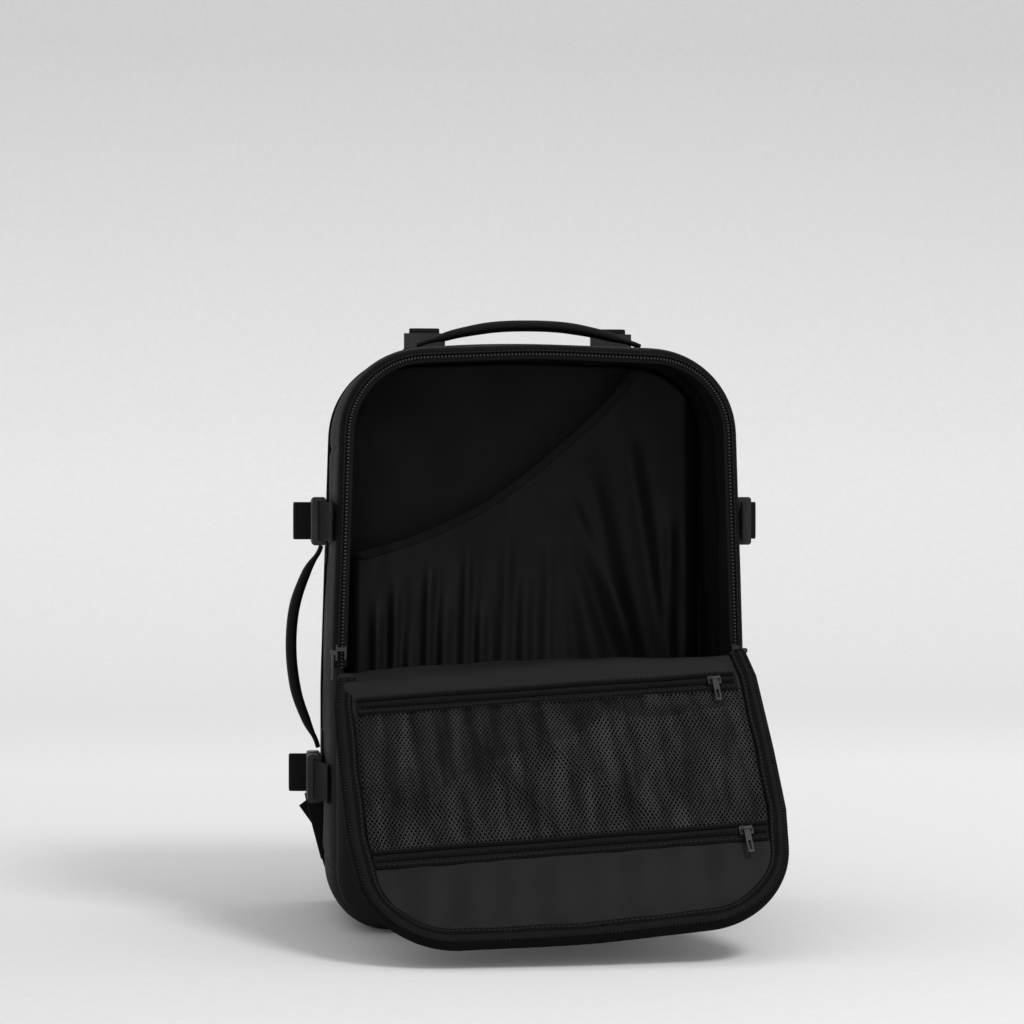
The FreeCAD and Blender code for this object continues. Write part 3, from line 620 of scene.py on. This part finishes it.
def repeated(name, unit, places):
    """One mesh of many copies of a small shape, each turned and put by its 3 x 4 place."""
    base = np.array([v.co for v in unit.data.vertices])
    faces = [list(p.vertices) for p in unit.data.polygons]
    points, polygons = [], []
    for number, place in enumerate(places):
        points.append(base @ place[:, :3].T + place[:, 3])
        polygons += [[k + number * len(base) for k in face] for face in faces]
    mesh = bpy.data.meshes.new(name)
    mesh.from_pydata(np.vstack(points).tolist(), [], polygons)
    piece = bpy.data.objects.new(name, mesh)
    bpy.context.collection.objects.link(piece)
    bpy.data.objects.remove(unit)
    return piece


def small_tooth(along, across, proud):
    """One moulded tooth, in metres: a block with its edges rounded."""
    bpy.ops.object.select_all(action="DESELECT")
    bpy.ops.mesh.primitive_cube_add(size=1, scale=(along * MM, across * MM, proud * MM))
    bpy.ops.object.transform_apply(scale=True)
    bpy.ops.object.mode_set(mode="EDIT")
    bpy.ops.mesh.bevel(offset=0.3 * MM, segments=1)
    bpy.ops.object.mode_set(mode="OBJECT")
    return bpy.context.object


def along_outline(start, end, pitch, inset, lay):
    """A place for each tooth: x along the outline, y towards its inside, z outwards."""
    count = int(abs(end - start) * OUTLINE_LENGTH / pitch)
    places = []
    for share in np.linspace(start, end, count):
        here, ahead, inner = [np.array(lay(*[float(c) for c in around(s, i)])) for s, i in
                              ((share, inset), (share + 1e-3, inset), (share, inset + 1))]
        x_axis = (ahead - here) / np.linalg.norm(ahead - here)
        y_axis = (inner - here) / np.linalg.norm(inner - here)
        places.append(np.column_stack([x_axis, y_axis, np.cross(x_axis, y_axis), here * MM]))
    return places


def moulded(name, colour, grain, rough, relief=0.15, specular=0.5):
    """Moulded plastic or coated metal: a fine grain with slightly shinier rubbed patches."""
    material, shader = new_material(name)
    place = add(material, "TexCoord").outputs["Object"]
    fine = add(material, "TexNoise", {"Scale": 1 / (grain * MM), "Detail": 2.0}, {"Vector": place})
    broad = add(material, "TexNoise", {"Scale": 60.0, "Detail": 4.0}, {"Vector": place})
    tone = add(material, "ValToRGB", {}, {"Fac": broad.outputs["Fac"]})
    base = linear(colour)
    tone.color_ramp.elements[0].position = 0.3
    tone.color_ramp.elements[1].position = 0.7
    tone.color_ramp.elements[0].color = (*[c * 0.8 for c in base[:3]], 1)
    tone.color_ramp.elements[1].color = (*[c * 1.25 for c in base[:3]], 1)
    rub = add(material, "MapRange", {"From Min": 0.3, "From Max": 0.7, "To Min": rough + 0.08,
                                     "To Max": rough - 0.08}, {"Value": broad.outputs["Fac"]})
    bump = add(material, "Bump", {"Strength": relief, "Distance": 0.1 * MM},
               {"Height": fine.outputs["Fac"]})
    links = material.node_tree.links
    links.new(tone.outputs["Color"], shader.inputs["Base Color"])
    links.new(rub.outputs[0], shader.inputs["Roughness"])
    links.new(bump.outputs[0], shader.inputs["Normal"])
    shader.inputs["Specular IOR Level"].default_value = specular
    return material


# Moulded acetal, dark grey; its rounded tips catch small highlights.
tooth_plastic = moulded("moulded_acetal_teeth", "#242426", 0.5, 0.3, specular=0.3)
RIM_TOOTH_PITCH = 2.7
rim_teeth = repeated("rim_teeth", small_tooth(1.25, 1.8, 1.5),
                     along_outline(RIM_START, 1 - RIM_START, RIM_TOOTH_PITCH, 8.2,
                                   lambda x, z: (x, -86.9, z)))
dress(rim_teeth, tooth_plastic, "zip_coil", "main_body", "body_zip_coil")

# ---- flap ----
# The front's upper part: padded shell cloth lined with crinkled nylon, bound all round
# with wide ribbed tape. It hangs open from a soft fold above the fixed lower front.
fold = next(joint for joint in frame["joints"] if joint["name"] == "flap_fold")
HINGE_Y, HINGE_Z = fold["pos_m"][1] / MM, fold["pos_m"][2] / MM
OPEN = math.radians(fold["range_deg"][1])
FLAP_DROP, FLAP_INSET = 1.0, 5.0


FLAP_SPREAD = (0, 25, 95, 148, 202, 245), (0, 5, 8, 9, 4, 0)
FLAP_TURN = np.array(Matrix.Rotation(-OPEN, 3, Vector(fold["axis"])))
FLAP_ACROSS, FLAP_LIFT, FLAP_ALONG = FLAP_TURN.T


def on_flap(across, along, lift):
    """A point of the open flap: along it from the fold, and lifted off its outer face.
    The soft flap spreads a little wider than its cut where it hangs free."""
    across = across * (1 + np.interp(along, *FLAP_SPREAD) / 150)
    return [centre + across * FLAP_TURN[k, 0] + lift * FLAP_TURN[k, 1] + along * FLAP_TURN[k, 2]
            for k, centre in enumerate((0.0, HINGE_Y, HINGE_Z))]


def flap_cut(u, v, inset, start, end=None):
    """A panel of the flap, between two distances from the fold."""
    base = HINGE_Z + FLAP_DROP
    x, z = cut_out(u, v, FLAP_INSET + inset, base + start, None if end is None else base + end)
    return x, z - base


flap_shell = pillow("flap_shell", 110, 90, (312, 243), lambda u, v: flap_cut(u, v, -0.6, 2.5), on_flap,
                    lambda u, v, a, b: 0.8 - 1.6 * np.sin(math.pi * u) * np.sin(math.pi * v)
                    + 0.5 * np.sin(a / 27 + b / 31),
                    lambda u, v, a, b: 6.1 + 0 * a, 3.5)
dress(flap_shell, shell_cloth, "shell_fabric", "flap", "flap_panel")

# Light crinkled nylon, a grey that reads paler than the black trims round it.
crinkled_nylon = woven("crinkled_nylon", "#1b1b1c", 0.9, relief=0.25, rough=(0.5, 0.7), sheen=0.0,
                       weave_shade_and_mottle=0.26, specular=0.055)


def crinkle(a, b):
    """Small uneven creases of light nylon, about 1 either way."""
    return (0.5 * np.sin(a / 7.3 + 1.7 * np.sin(b / 23)) + 0.3 * np.sin(b / 6.1 + 1.3 * np.sin(a / 31))
            + 0.4 * np.sin((a + b) / 13.7 + 0.9 * np.sin(a / 19)))


flap_lining = pillow("flap_inside", 110, 90, (308, 238), lambda u, v: flap_cut(u, v, 1.5, 4), on_flap,
                     lambda u, v, a, b: 6.2 + 0 * a, lambda u, v, a, b: 7.4 + 0.35 * crinkle(a, b), 2)
dress(flap_lining, crinkled_nylon, "pocket_fabric", "flap", "flap_lining")
flap_share = share_at(HINGE_Z + FLAP_DROP + 3)
EDGE_SECTION = [(12.2, 8.6), (12.0, 9.5), (8.0, 10.1), (3.0, 10.0), (0.4, 9.2), (-1.2, 7.2), (-1.7, 4.0),
                (-1.3, 1.4), (0.2, -0.6), (3.0, -1.3), (8.0, -1.5), (8.2, -0.9), (3.0, -0.3),
                (0.6, 0.8), (-0.2, 4.0), (0.6, 7.2), (3.0, 8.4), (8.0, 8.7)]


def flap_ring(name, section, columns, rows, swell=None):
    section = [(FLAP_INSET + inset, lift) for inset, lift in section]
    return ring(name, flap_share, 1 - flap_share, section, columns, rows, swell,
                lambda x, z, lift: on_flap(x, z - HINGE_Z - FLAP_DROP, lift))


flap_binding = flap_ring("flap_edge_binding", EDGE_SECTION, 420, 40,
                         lambda share, lift, inset: 0.35 * np.sin(share * OUTLINE_LENGTH / 9)
                         * (inset > 12))
dress(flap_binding, binding_cloth, "binding", "flap", "flap_binding")
flap_tape = flap_ring("flap_zip_edge", [(0.6, 9.6), (3.5, 10.4), (6.4, 10.5), (6.5, 10.1), (3.5, 9.9),
                                        (0.8, 9.2)], 420, 12)
dress(flap_tape, tape_cloth, "zip_tape", "flap", "flap_zip_tape")
# Moulded acetal, black and matt.
dark_teeth = moulded("moulded_acetal_flap_teeth", "#0c0c0d", 0.5, 0.6, specular=0.08)
flap_teeth = repeated(
    "flap_teeth", small_tooth(1.45, 2.0, 1.4),
    along_outline(flap_share, 1 - flap_share, RIM_TOOTH_PITCH, FLAP_INSET + 1.6,
                  lambda x, z: on_flap(x, z - HINGE_Z - FLAP_DROP, 10.3)))
dress(flap_teeth, dark_teeth, "zip_coil", "flap", "flap_zip_coil")

# ---- fold ----
# The cloth runs over the fold in one piece, puffed up by the padding that is squeezed
# there, from the rim inside the bag to the first zip on the flap.
FOLD_HALF = 151.0


def fold_section(across):
    """The roll's section at one end: over the crest, down the flap and back under it."""
    lean = across * FLAP_ACROSS[2] * 0.5
    return [(across, -85.4, 193.0), (across, -86.0, 200.0), (across, -90.0, 205.6 + lean),
            (across, -96.5, 207.4 + lean), on_flap(across, 5.0, 9.6), on_flap(across, 14.0, 10.4),
            on_flap(across, 23.0, 8.4), on_flap(across, 24.0, 6.0), on_flap(across, 16.0, -0.2),
            on_flap(across, 6.0, -1.2), (across, -102.0, 196.0 + lean), (across, -100.8, 190.0),
            (across, -94.0, 186.0), (across, -87.5, 187.0)]


def fold_place(u, v):
    left, right = [flowing(fold_section(end), v, loop=True) for end in (-FOLD_HALF, FOLD_HALF)]
    x, y, z = (left + (right - left) * u[:, None]).T
    mound, arch = 1 - (2 * u - 1) ** 4, 1 - (2 * u - 1) ** 2
    high = np.clip((z - 194) / 12, 0, 1)
    pucker = 0.45 * np.sin(x / 8.5 + 0.7 * np.sin(x / 29)) * mound
    end_tuck = 7.0 * np.clip(np.abs(2 * u - 1) * 6 - 5, 0, 1) ** 2
    return x, y + pucker * 0.3, z + high * (5.5 * arch - 3.4 - end_tuck) + pucker * high


roll = sewn(laid_cloth("fold_roll", 260, 64, fold_place, lambda u, v: (u * 313, v * 120)))
roll.data.materials.append(crinkled_nylon)
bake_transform(roll)

# ---- flap pockets ----
# A wide pocket of knitted diamond net, its cloth lying in loose diagonal wrinkles, and
# below it a pocket of crinkled nylon. Each opens with its own zip along the top.
def netting(name, colour, pitch, thread):
    """Knitted net: threads on two diagonals, open between them and bunched closer in long diagonal
    streaks, where they are also painted brighter as glints. thread is 0 to 1."""
    material, shader = new_material(name)
    cut = add(material, "TexCoord").outputs["UV"]
    axes = add(material, "SeparateXYZ", {}, {"Vector": cut})
    rising = add(material, "Math", {"operation": "MULTIPLY", 1: 0.62}, {0: axes.outputs["Y"]})
    strands = []
    for operation in ("ADD", "SUBTRACT"):
        slant = add(material, "Math", {"operation": operation},
                    {0: axes.outputs["X"], 1: rising.outputs[0]})
        turns = add(material, "Math", {"operation": "MULTIPLY", 1: math.pi / (pitch * MM)},
                    {0: slant.outputs[0]})
        wave = add(material, "Math", {"operation": "SINE"}, {0: turns.outputs[0]})
        strands.append(add(material, "Math", {"operation": "ABSOLUTE"}, {0: wave.outputs[0]}))
    near = add(material, "Math", {"operation": "MINIMUM"},
               {0: strands[0].outputs[0], 1: strands[1].outputs[0]})
    slanted = add(material, "Mapping", {"Rotation": (0, 0, 0.45), "Scale": (75, 13, 1)},
                  {"Vector": cut})
    bunching_and_painted_glint = add(material, "TexNoise", {"Scale": 1.0, "Detail": 3.0},
                  {"Vector": slanted.outputs[0]})
    gather = add(material, "MapRange", {"From Min": 0.35, "From Max": 0.68, "To Min": 0.12,
                                        "To Max": -0.16}, {"Value": bunching_and_painted_glint.outputs["Fac"]})
    gap = add(material, "Math", {"operation": "ADD"}, {0: near.outputs[0], 1: gather.outputs[0]})
    cover = add(material, "MapRange", {"From Min": thread - 0.06, "From Max": thread + 0.06,
                                       "To Min": 1.0, "To Max": 0.0}, {"Value": gap.outputs[0]})
    # Painted glints: the threads' colour is scaled from 0.55 to 1.8 times along the same diagonal
    # streaks, as brightness that stands in for light caught on the wrinkles.
    level = add(material, "MapRange", {"From Min": 0.35, "From Max": 0.68, "To Min": 0.55,
                                       "To Max": 1.8}, {"Value": bunching_and_painted_glint.outputs["Fac"]})
    tone = add(material, "VectorMath", {"operation": "SCALE", 0: linear(colour)[:3]},
               {"Scale": level.outputs[0]})
    bump = add(material, "Bump", {"Strength": 0.45, "Distance": 0.4 * MM, "invert": True},
               {"Height": near.outputs[0]})
    links = material.node_tree.links
    links.new(tone.outputs[0], shader.inputs["Base Color"])
    links.new(cover.outputs[0], shader.inputs["Alpha"])
    links.new(bump.outputs[0], shader.inputs["Normal"])
    shader.inputs["Roughness"].default_value = 0.4
    shader.inputs["Specular IOR Level"].default_value = 0.07
    return material


# Polyamide net, black, with smooth threads; their glints along the wrinkles are painted as brighter
# colour in diagonal streaks.
diamond_net = netting("knitted_diamond_net", "#1e1e1f", 3.1, 0.42)


def wrinkles(a, b):
    """Long diagonal wrinkles of loose net, about 1 either way."""
    drift = 1.4 * np.sin(a / 41 + 0.6) + 1.1 * np.sin(b / 33 + a / 90)
    ridge = (1 - np.abs(np.sin((a - 0.42 * b) / 27 + drift))) ** 2
    other = (1 - np.abs(np.sin((a + 0.55 * b) / 36 - 0.8 * drift))) ** 2
    return 1.1 * ridge + 0.8 * other + 0.25 * np.sin(a / 6.2 + b / 27 + 1.1 * np.sin(b / 17)) - 0.6


def pocket_front(name, inset, start, end, length, columns, rows, lift):
    """A pocket's front cloth on the flap; lift(u, v, across, along) is its height."""
    def place(u, v):
        a, b = flap_cut(u, v, inset, start, end)
        return on_flap(a, b, lift(u, v, a, b))

    wide = 2 * (156 - inset)
    cloth = laid_cloth(name, columns, rows, place, lambda u, v: (u * wide, v * length))
    thicken = cloth.modifiers.new("cloth_thickness", "SOLIDIFY")
    thicken.thickness = 0.0005
    thicken.offset = 0
    bpy.ops.object.modifier_apply(modifier=thicken.name)
    return sewn(cloth, 0.01)


def flap_band(name, half, along, width, low, high, columns, wave=0.0):
    """A band of cloth laid across the flap, with its long edges rolled under."""
    return pillow(name, columns, 14, (2 * half, width),
                  lambda u, v: ((2 * u - 1) * half, along + (v - 0.5) * width
                                + wave * np.sin((2 * u - 1) * half / 21)), on_flap,
                  lambda u, v, a, b: low + 0 * a, lambda u, v, a, b: high + 0 * a, 1.2)


net_pocket = pocket_front(
    "net_pocket_front", 12.5, 35.5, 160.5, 127, 240, 140,
    lambda u, v, a, b: 8.4 + 6.5 * (4 * u * (1 - u) * 4 * v * (1 - v)) ** 0.6
    + 2.8 * wrinkles(a, b) * np.clip(6 * v, 0, 1) * np.clip(6 - 6 * v, 0, 1)
    * np.clip(12 * u, 0, 1) * np.clip(12 - 12 * u, 0, 1))
dress(net_pocket, diamond_net, "mesh_fabric", "flap", "mesh_pocket")
# Painted shade: a sheet of dark zip-tape cloth, darker than the crinkled nylon of the flap lining it
# covers, stands in for the shade inside the net pocket.
net_painted_shade_sheet = flap_band("net_pocket_painted_shade_backing", 140.0, 98.0, 122.0, 7.5, 8.0, 60)
dress(net_painted_shade_sheet, tape_cloth, "lining_fabric", "flap")
nylon_pocket = pocket_front(
    "nylon_pocket_front", 11.2, 173.5, None, 61, 200, 90,
    lambda u, v, a, b: 8.3 + 4.5 * (4 * u * (1 - u) * 4 * v * (1 - v)) ** 0.7
    + 1.9 * crinkle(1.5 * a, 0.6 * b) * np.clip(8 * v, 0, 1) * np.clip(8 - 8 * v, 0, 1))
dress(nylon_pocket, crinkled_nylon, "pocket_fabric", "flap", "end_pocket")


ZIP_LINES, ZIP_REACH = (30.0, 167.0), (140.5, 138.5)
for number, (line, half) in enumerate(zip(ZIP_LINES, ZIP_REACH)):
    tape = flap_band(f"pocket_zip_tape_{number + 1}", half, line, 15.5, 7.5, 8.7, 220)
    dress(tape, tape_cloth, "zip_tape", "flap", *(["pocket_zip_tapes"] if number == 0 else []))
    for side in (-1, 1):
        lip = strap(f"pocket_zip_lip_{number + 1}_{'upper' if side < 0 else 'lower'}",
                    [on_flap(x, line + side * (6.6 + 0.3 * math.sin(x / 17)), 9.3)
                     for x in np.linspace(-half + 1, half - 1, 30)],
                    FLAP_ALONG, 2.0, 0.9, 260, 12, square=0.8)
        dress(lip, binding_cloth, "binding", "flap")
zip_axes = np.column_stack([-FLAP_ACROSS, FLAP_ALONG, FLAP_LIFT])
pocket_teeth = repeated(
    "pocket_zip_teeth", small_tooth(0.95, 3.6, 1.5),
    [np.column_stack([zip_axes, np.array(on_flap(x, line, 9.4)) * MM])
     for line, half in zip(ZIP_LINES, ZIP_REACH) for x in np.arange(-half + 3, half - 2, 1.55)])
dress(pocket_teeth, dark_teeth, "zip_coil", "flap", "pocket_zip_coils")

# ---- webbing straps ----
# Ribbed polyamide webbing. Two compression straps cross each side: the front length is
# sewn to the side and to a socket, the rear one ends in a plug with a loose hemmed tail.
# Polyamide webbing: strong ribs across it, and stitches along each edge.
webbing_cloth = woven("ribbed_polyamide_webbing", "#111112", 1.7, relief=0.7, rough=(0.6, 0.8),
                      sheen=0.0, ribs=True, weave_shade_and_mottle=0.25, stitches=(2.6, 27.4),
                      stitch_colour="#1f1f20", specular=0.06)
SIDE_LEAN, LEAN_FROM, SIDE_X = 8.5 / 267, 180.0, 162.0
STRAP_HEIGHTS = {"upper": 315.0, "lower": 113.0}
WEB_HALF, WEB_THICK = 15.0, 0.85
for level, height in STRAP_HEIGHTS.items():
    base = SIDE_X - SIDE_LEAN * max(0, height - 19 - LEAN_FROM)
    for hand, sign in (("left", -1), ("right", 1)):
        def web_path(*points):
            return [(sign * (base + out), y, height) for out, y in points]

        front_web = strap(f"{level}_{hand}_front_web",
                          web_path((1.1, -79), (2.4, -70), (5.4, -57), (8.8, -45), (10.5, -37),
                                   (10.6, -30)),
                          (0, 0, 1), WEB_HALF, WEB_THICK, 60, 24, square=0.35)
        rear_web = strap(f"{level}_{hand}_rear_web",
                         web_path((3.4, -1), (3.4, 18), (3.1, 42), (2.0, 66), (0.8, 80)),
                         (0, 0, 1), WEB_HALF, WEB_THICK, 60, 24, square=0.35)
        first = level == "upper" and hand == "left"
        dress(front_web, webbing_cloth, "webbing", "main_body",
              *(["strap_front_webs"] if first else []))
        dress(rear_web, webbing_cloth, "webbing", "main_body", *(["strap_rear_webs"] if first else []))
        tail_web = strap(f"{level}_{hand}_tail_web",
                         web_path((6.4, 14.8), (14, 15.0), (22, 16.0), (27.6, 17.4), (29.0, 19.2),
                                  (27.4, 20.8), (20, 20.4), (12, 19.4)),
                         (0, 0, 1), WEB_HALF, WEB_THICK, 110, 24, square=0.35)
        dress(tail_web, webbing_cloth, "webbing", f"{level}_{hand}_buckle", f"{level}_{hand}_tail")

for hand, sign in (("left", -1), ("right", 1)):
    lower_web = strap(f"lower_{hand}_strap_web",
                      [(sign * 175, 91.2, 68), (sign * 158, 92.6, 80), (sign * 122, 98.6, 100),
                       (sign * 100, 102.3, 110), (sign * 88, 103.6, 116)],
                      (sign * 0.43, 0, 0.9), 12.5, 0.85, 90, 24, square=0.35)
    dress(lower_web, webbing_cloth, "webbing", "main_body",
          *(["lower_strap_webs"] if hand == "left" else []))
    lifter = strap(f"lifter_{hand}_web",
                   [(sign * 78, 89.2, 452.5), (sign * 78, 89.2, 462), (sign * 78, 89.4, 470.5),
                    (sign * 78, 91.2, 473.6), (sign * 78, 93.6, 471.2), (sign * 78, 94.2, 464),
                    (sign * 78, 93.6, 456)],
                   (1, 0, 0), 12.5, 0.85, 90, 24, square=0.35)
    dress(lifter, webbing_cloth, "webbing", "main_body",
          *(["load_lifter_webs"] if hand == "left" else []))
    fin = pillow(f"strap_fin_{hand}", 24, 50, (20, 60),
                 lambda u, v, sign=sign: (sign * quad_cut(((158, 33), (164, 33), (178.6, 90), (158, 93)),
                                                          u, v, 0.1)[0],
                                          quad_cut(((158, 33), (164, 33), (178.6, 90), (158, 93)),
                                                   u, v, 0.1)[1]),
                 lambda a, b, h: (a, h, b), lambda u, v, a, b: 86.0 + 0 * a,
                 lambda u, v, a, b: 89.6 + 0 * a, 1.5)
    dress(fin, webbing_cloth, "webbing", "main_body",
          *(["strap_anchor_fins"] if hand == "left" else []))

# ---- grips ----
# Two carrying grips: padded tubes of webbing cloth, flattened and stitched down at their
# ends onto small anchor patches on the top and on the left side.
# Tubular webbing drawn over a foam core, stitched along both sides.
grip_cloth = woven("tubular_grip_cloth", "#111112", 1.2, relief=0.5, rough=(0.55, 0.75), sheen=0.0,
                   weave_shade_and_mottle=0.2, stitches=(4.0, 18.0), stitch_colour="#1f1f20", specular=0.06)
GRIP_WIDE = [(0, 5.6), (0.06, 6.4), (0.16, 9.4), (0.3, 10.8), (0.7, 10.8), (0.84, 9.4), (0.94, 6.4),
             (1, 5.6)]
GRIP_THICK = [(0, 1.9), (0.07, 2.0), (0.14, 3.6), (0.3, 4.4), (0.7, 4.4), (0.86, 3.6), (0.93, 2.0),
              (1, 1.9)]
top_grip = strap("top_grip_pad",
                 [(-90, 0, 455.0), (-84, 0, 457.4), (-72, 0, 460.8), (-54, 0, 465.6), (-28, 0, 470.0),
                  (0, 0, 471.2), (28, 0, 470.0), (54, 0, 465.6), (72, 0, 460.8), (84, 0, 457.4),
                  (90, 0, 455.0)], (0, 1, 0), GRIP_WIDE, GRIP_THICK, 220, 32, square=0.75)
dress(top_grip, grip_cloth, "webbing", "top_grip", "top_handle")
side_grip = strap("side_grip_pad",
                  [(-168.2, 20, 133), (-170.6, 20, 140), (-177.8, 20, 155), (-186.2, 20, 180),
                   (-189.8, 20, 213), (-187.0, 20, 246), (-177.2, 20, 274), (-168.0, 20, 289),
                   (-165.6, 20, 295)], (0, 1, 0), GRIP_WIDE, GRIP_THICK, 220, 32, square=0.75)
dress(side_grip, grip_cloth, "webbing", "side_grip", "side_handle")


def patch_section(low, high):
    """The section of a sewn-down patch between two depths: thin, with rolled edges."""
    return [(-1.4, low), (-3.0, low + 0.4), (-3.7, low + 1.6), (-3.9, (low + high) / 2),
            (-3.7, high - 1.6), (-3.0, high - 0.4), (-1.4, high), (-0.8, (low + high) / 2)]


def share_above(x):
    """The outline's share on the top edge at a distance right of the middle."""
    quarter = int(0.3 * (len(SHARES) - 1))
    half = len(SHARES) // 2
    return float(np.interp(-x, -outline[0][quarter:half + 1], SHARES[quarter:half + 1]))


for name, start, end, low, high in (
        ("top_anchor_right", share_above(100), share_above(68), -14, 14),
        ("top_anchor_left", -share_above(100), -share_above(68), -14, 14),
        ("side_anchor_upper", -share_at(281), -share_at(297), 5, 35),
        ("side_anchor_lower", -share_at(131), -share_at(147), 5, 35)):
    anchor = ring(name, start, end, patch_section(low, high), 40, 32)
    covers = {"top_anchor_right": ["top_handle_anchors"], "side_anchor_upper": ["side_handle_anchors"]}
    dress(anchor, webbing_cloth, "webbing", "main_body", *covers.get(name, []))

# ---- yoke and shoulder straps ----
# Padded straps hang from a quilted yoke at the top of the back: shell cloth outside,
# spacer mesh inside, their edges bound.
yoke = pillow("strap_yoke_pad", 110, 30, (208, 38),
              lambda u, v: quad_cut(((-103, 402), (103, 402), (98, 440), (-98, 440)), u, v, 0.06),
              lambda a, b, h: (a, h, b), lambda u, v, a, b: 90.0 + 0 * a,
              lambda u, v, a, b: 96.9 - 0.9 * np.exp(-((b - 421) / 1.6) ** 2), 5)
dress(yoke, shell_cloth, "shell_fabric", "main_body", "strap_yoke")
STRAP_LEVELS = (150, 205, 300, 448)
STRAP_INNER, STRAP_OUTER = (64, 54, 46, 38), (96, 106, 108, 98)


def strap_cut(u, v, sign, inset=0.0):
    """A shoulder strap's plan, its corners rounded."""
    p, q = 2 * u - 1, 2 * v - 1
    z = 299 + (149 - inset) * q * np.sqrt(1 - 0.04 * p ** 2)
    middle = (np.interp(z, STRAP_LEVELS, STRAP_INNER) + np.interp(z, STRAP_LEVELS, STRAP_OUTER)) / 2
    half = (np.interp(z, STRAP_LEVELS, STRAP_OUTER) - np.interp(z, STRAP_LEVELS, STRAP_INNER)) / 2
    return sign * (middle + (half - inset) * p * np.sqrt(1 - 0.12 * q ** 8)), z


for hand, sign in (("left", -1), ("right", 1)):
    foam = pillow(f"shoulder_strap_{hand}_pad", 40, 150, (60, 298),
                  lambda u, v, sign=sign: strap_cut(u, v, sign), lambda a, b, h: (a, h, b),
                  lambda u, v, a, b: 101.1 + 0.3 * np.sin(b / 19),
                  lambda u, v, a, b: 111.8 - 0.8 * np.exp(-((b - 300) / 1.6) ** 2), 7)
    dress(foam, shell_cloth, "shell_fabric", f"{hand}_strap", f"shoulder_strap_{hand}")
    turns = np.linspace(0, 2 * math.pi, 121)
    edge_u = np.clip(0.5 + 0.71 * np.cos(turns), 0, 1)
    edge_v = np.clip(0.5 + 0.71 * np.sin(turns), 0, 1)
    edge_x, edge_z = strap_cut(edge_u, edge_v, sign, 0.6)
    edging = strap(f"shoulder_strap_{hand}_edging",
                   [(x, 106.4, z) for x, z in zip(edge_x, edge_z)], (0, 1, 0), 2.6, 1.5, 400, 12,
                   square=0.8)
    dress(edging, binding_cloth, "binding", f"{hand}_strap")
    runner = strap(f"shoulder_strap_{hand}_runner",
                   [(sign * 80, 111.6, 152), (sign * 79, 113.2, 200), (sign * 76, 113.4, 300),
                    (sign * 69, 113.0, 400), (sign * 67.5, 111.6, 446)],
                   (1, 0, 0), 12.0, 0.8, 160, 24, square=0.35)
    dress(runner, webbing_cloth, "webbing", f"{hand}_strap")

# ---- hard parts ----
# Moulded acetal buckles, ladder locks and adjusters; enamelled zinc sliders and pulls;
# polyethylene sheets that stiffen the base and the back.
# Acetal with a fine moulded grain; its faces are matt and its edges catch the light.
buckle_plastic = moulded("moulded_acetal_buckle", "#232324", 0.6, 0.42, specular=0.15)
# Cast zinc under black enamel, smoother than the plastic.
enamelled_zinc = moulded("enamelled_zinc", "#202021", 0.4, 0.3, specular=0.3)
# Extruded polyethylene, waxy and matt.
sheet_plastic = moulded("extruded_polyethylene_sheet", "#1a1a1b", 1.2, 0.6, relief=0.3)
hard_nodes = {
    buckle_plastic: ["buckle_sockets", "load_lifter_locks", "adjuster_left", "adjuster_right",
                     "upper_left_plug", "upper_right_plug", "lower_left_plug", "lower_right_plug"],
    enamelled_zinc: ["mesh_zip_slider", "mesh_zip_pull", "end_zip_slider", "end_zip_pull",
                     "main_slider_left", "main_slider_right", "main_pull_left", "main_pull_right"],
    sheet_plastic: ["base_board", "frame_sheet"]}
for material, names in hard_nodes.items():
    for name in names:
        node = frame["nodes"][name]
        for index in range(max(1, len(node.data.materials))):
            if len(node.data.materials):
                node.data.materials[index] = material
            else:
                node.data.materials.append(material)
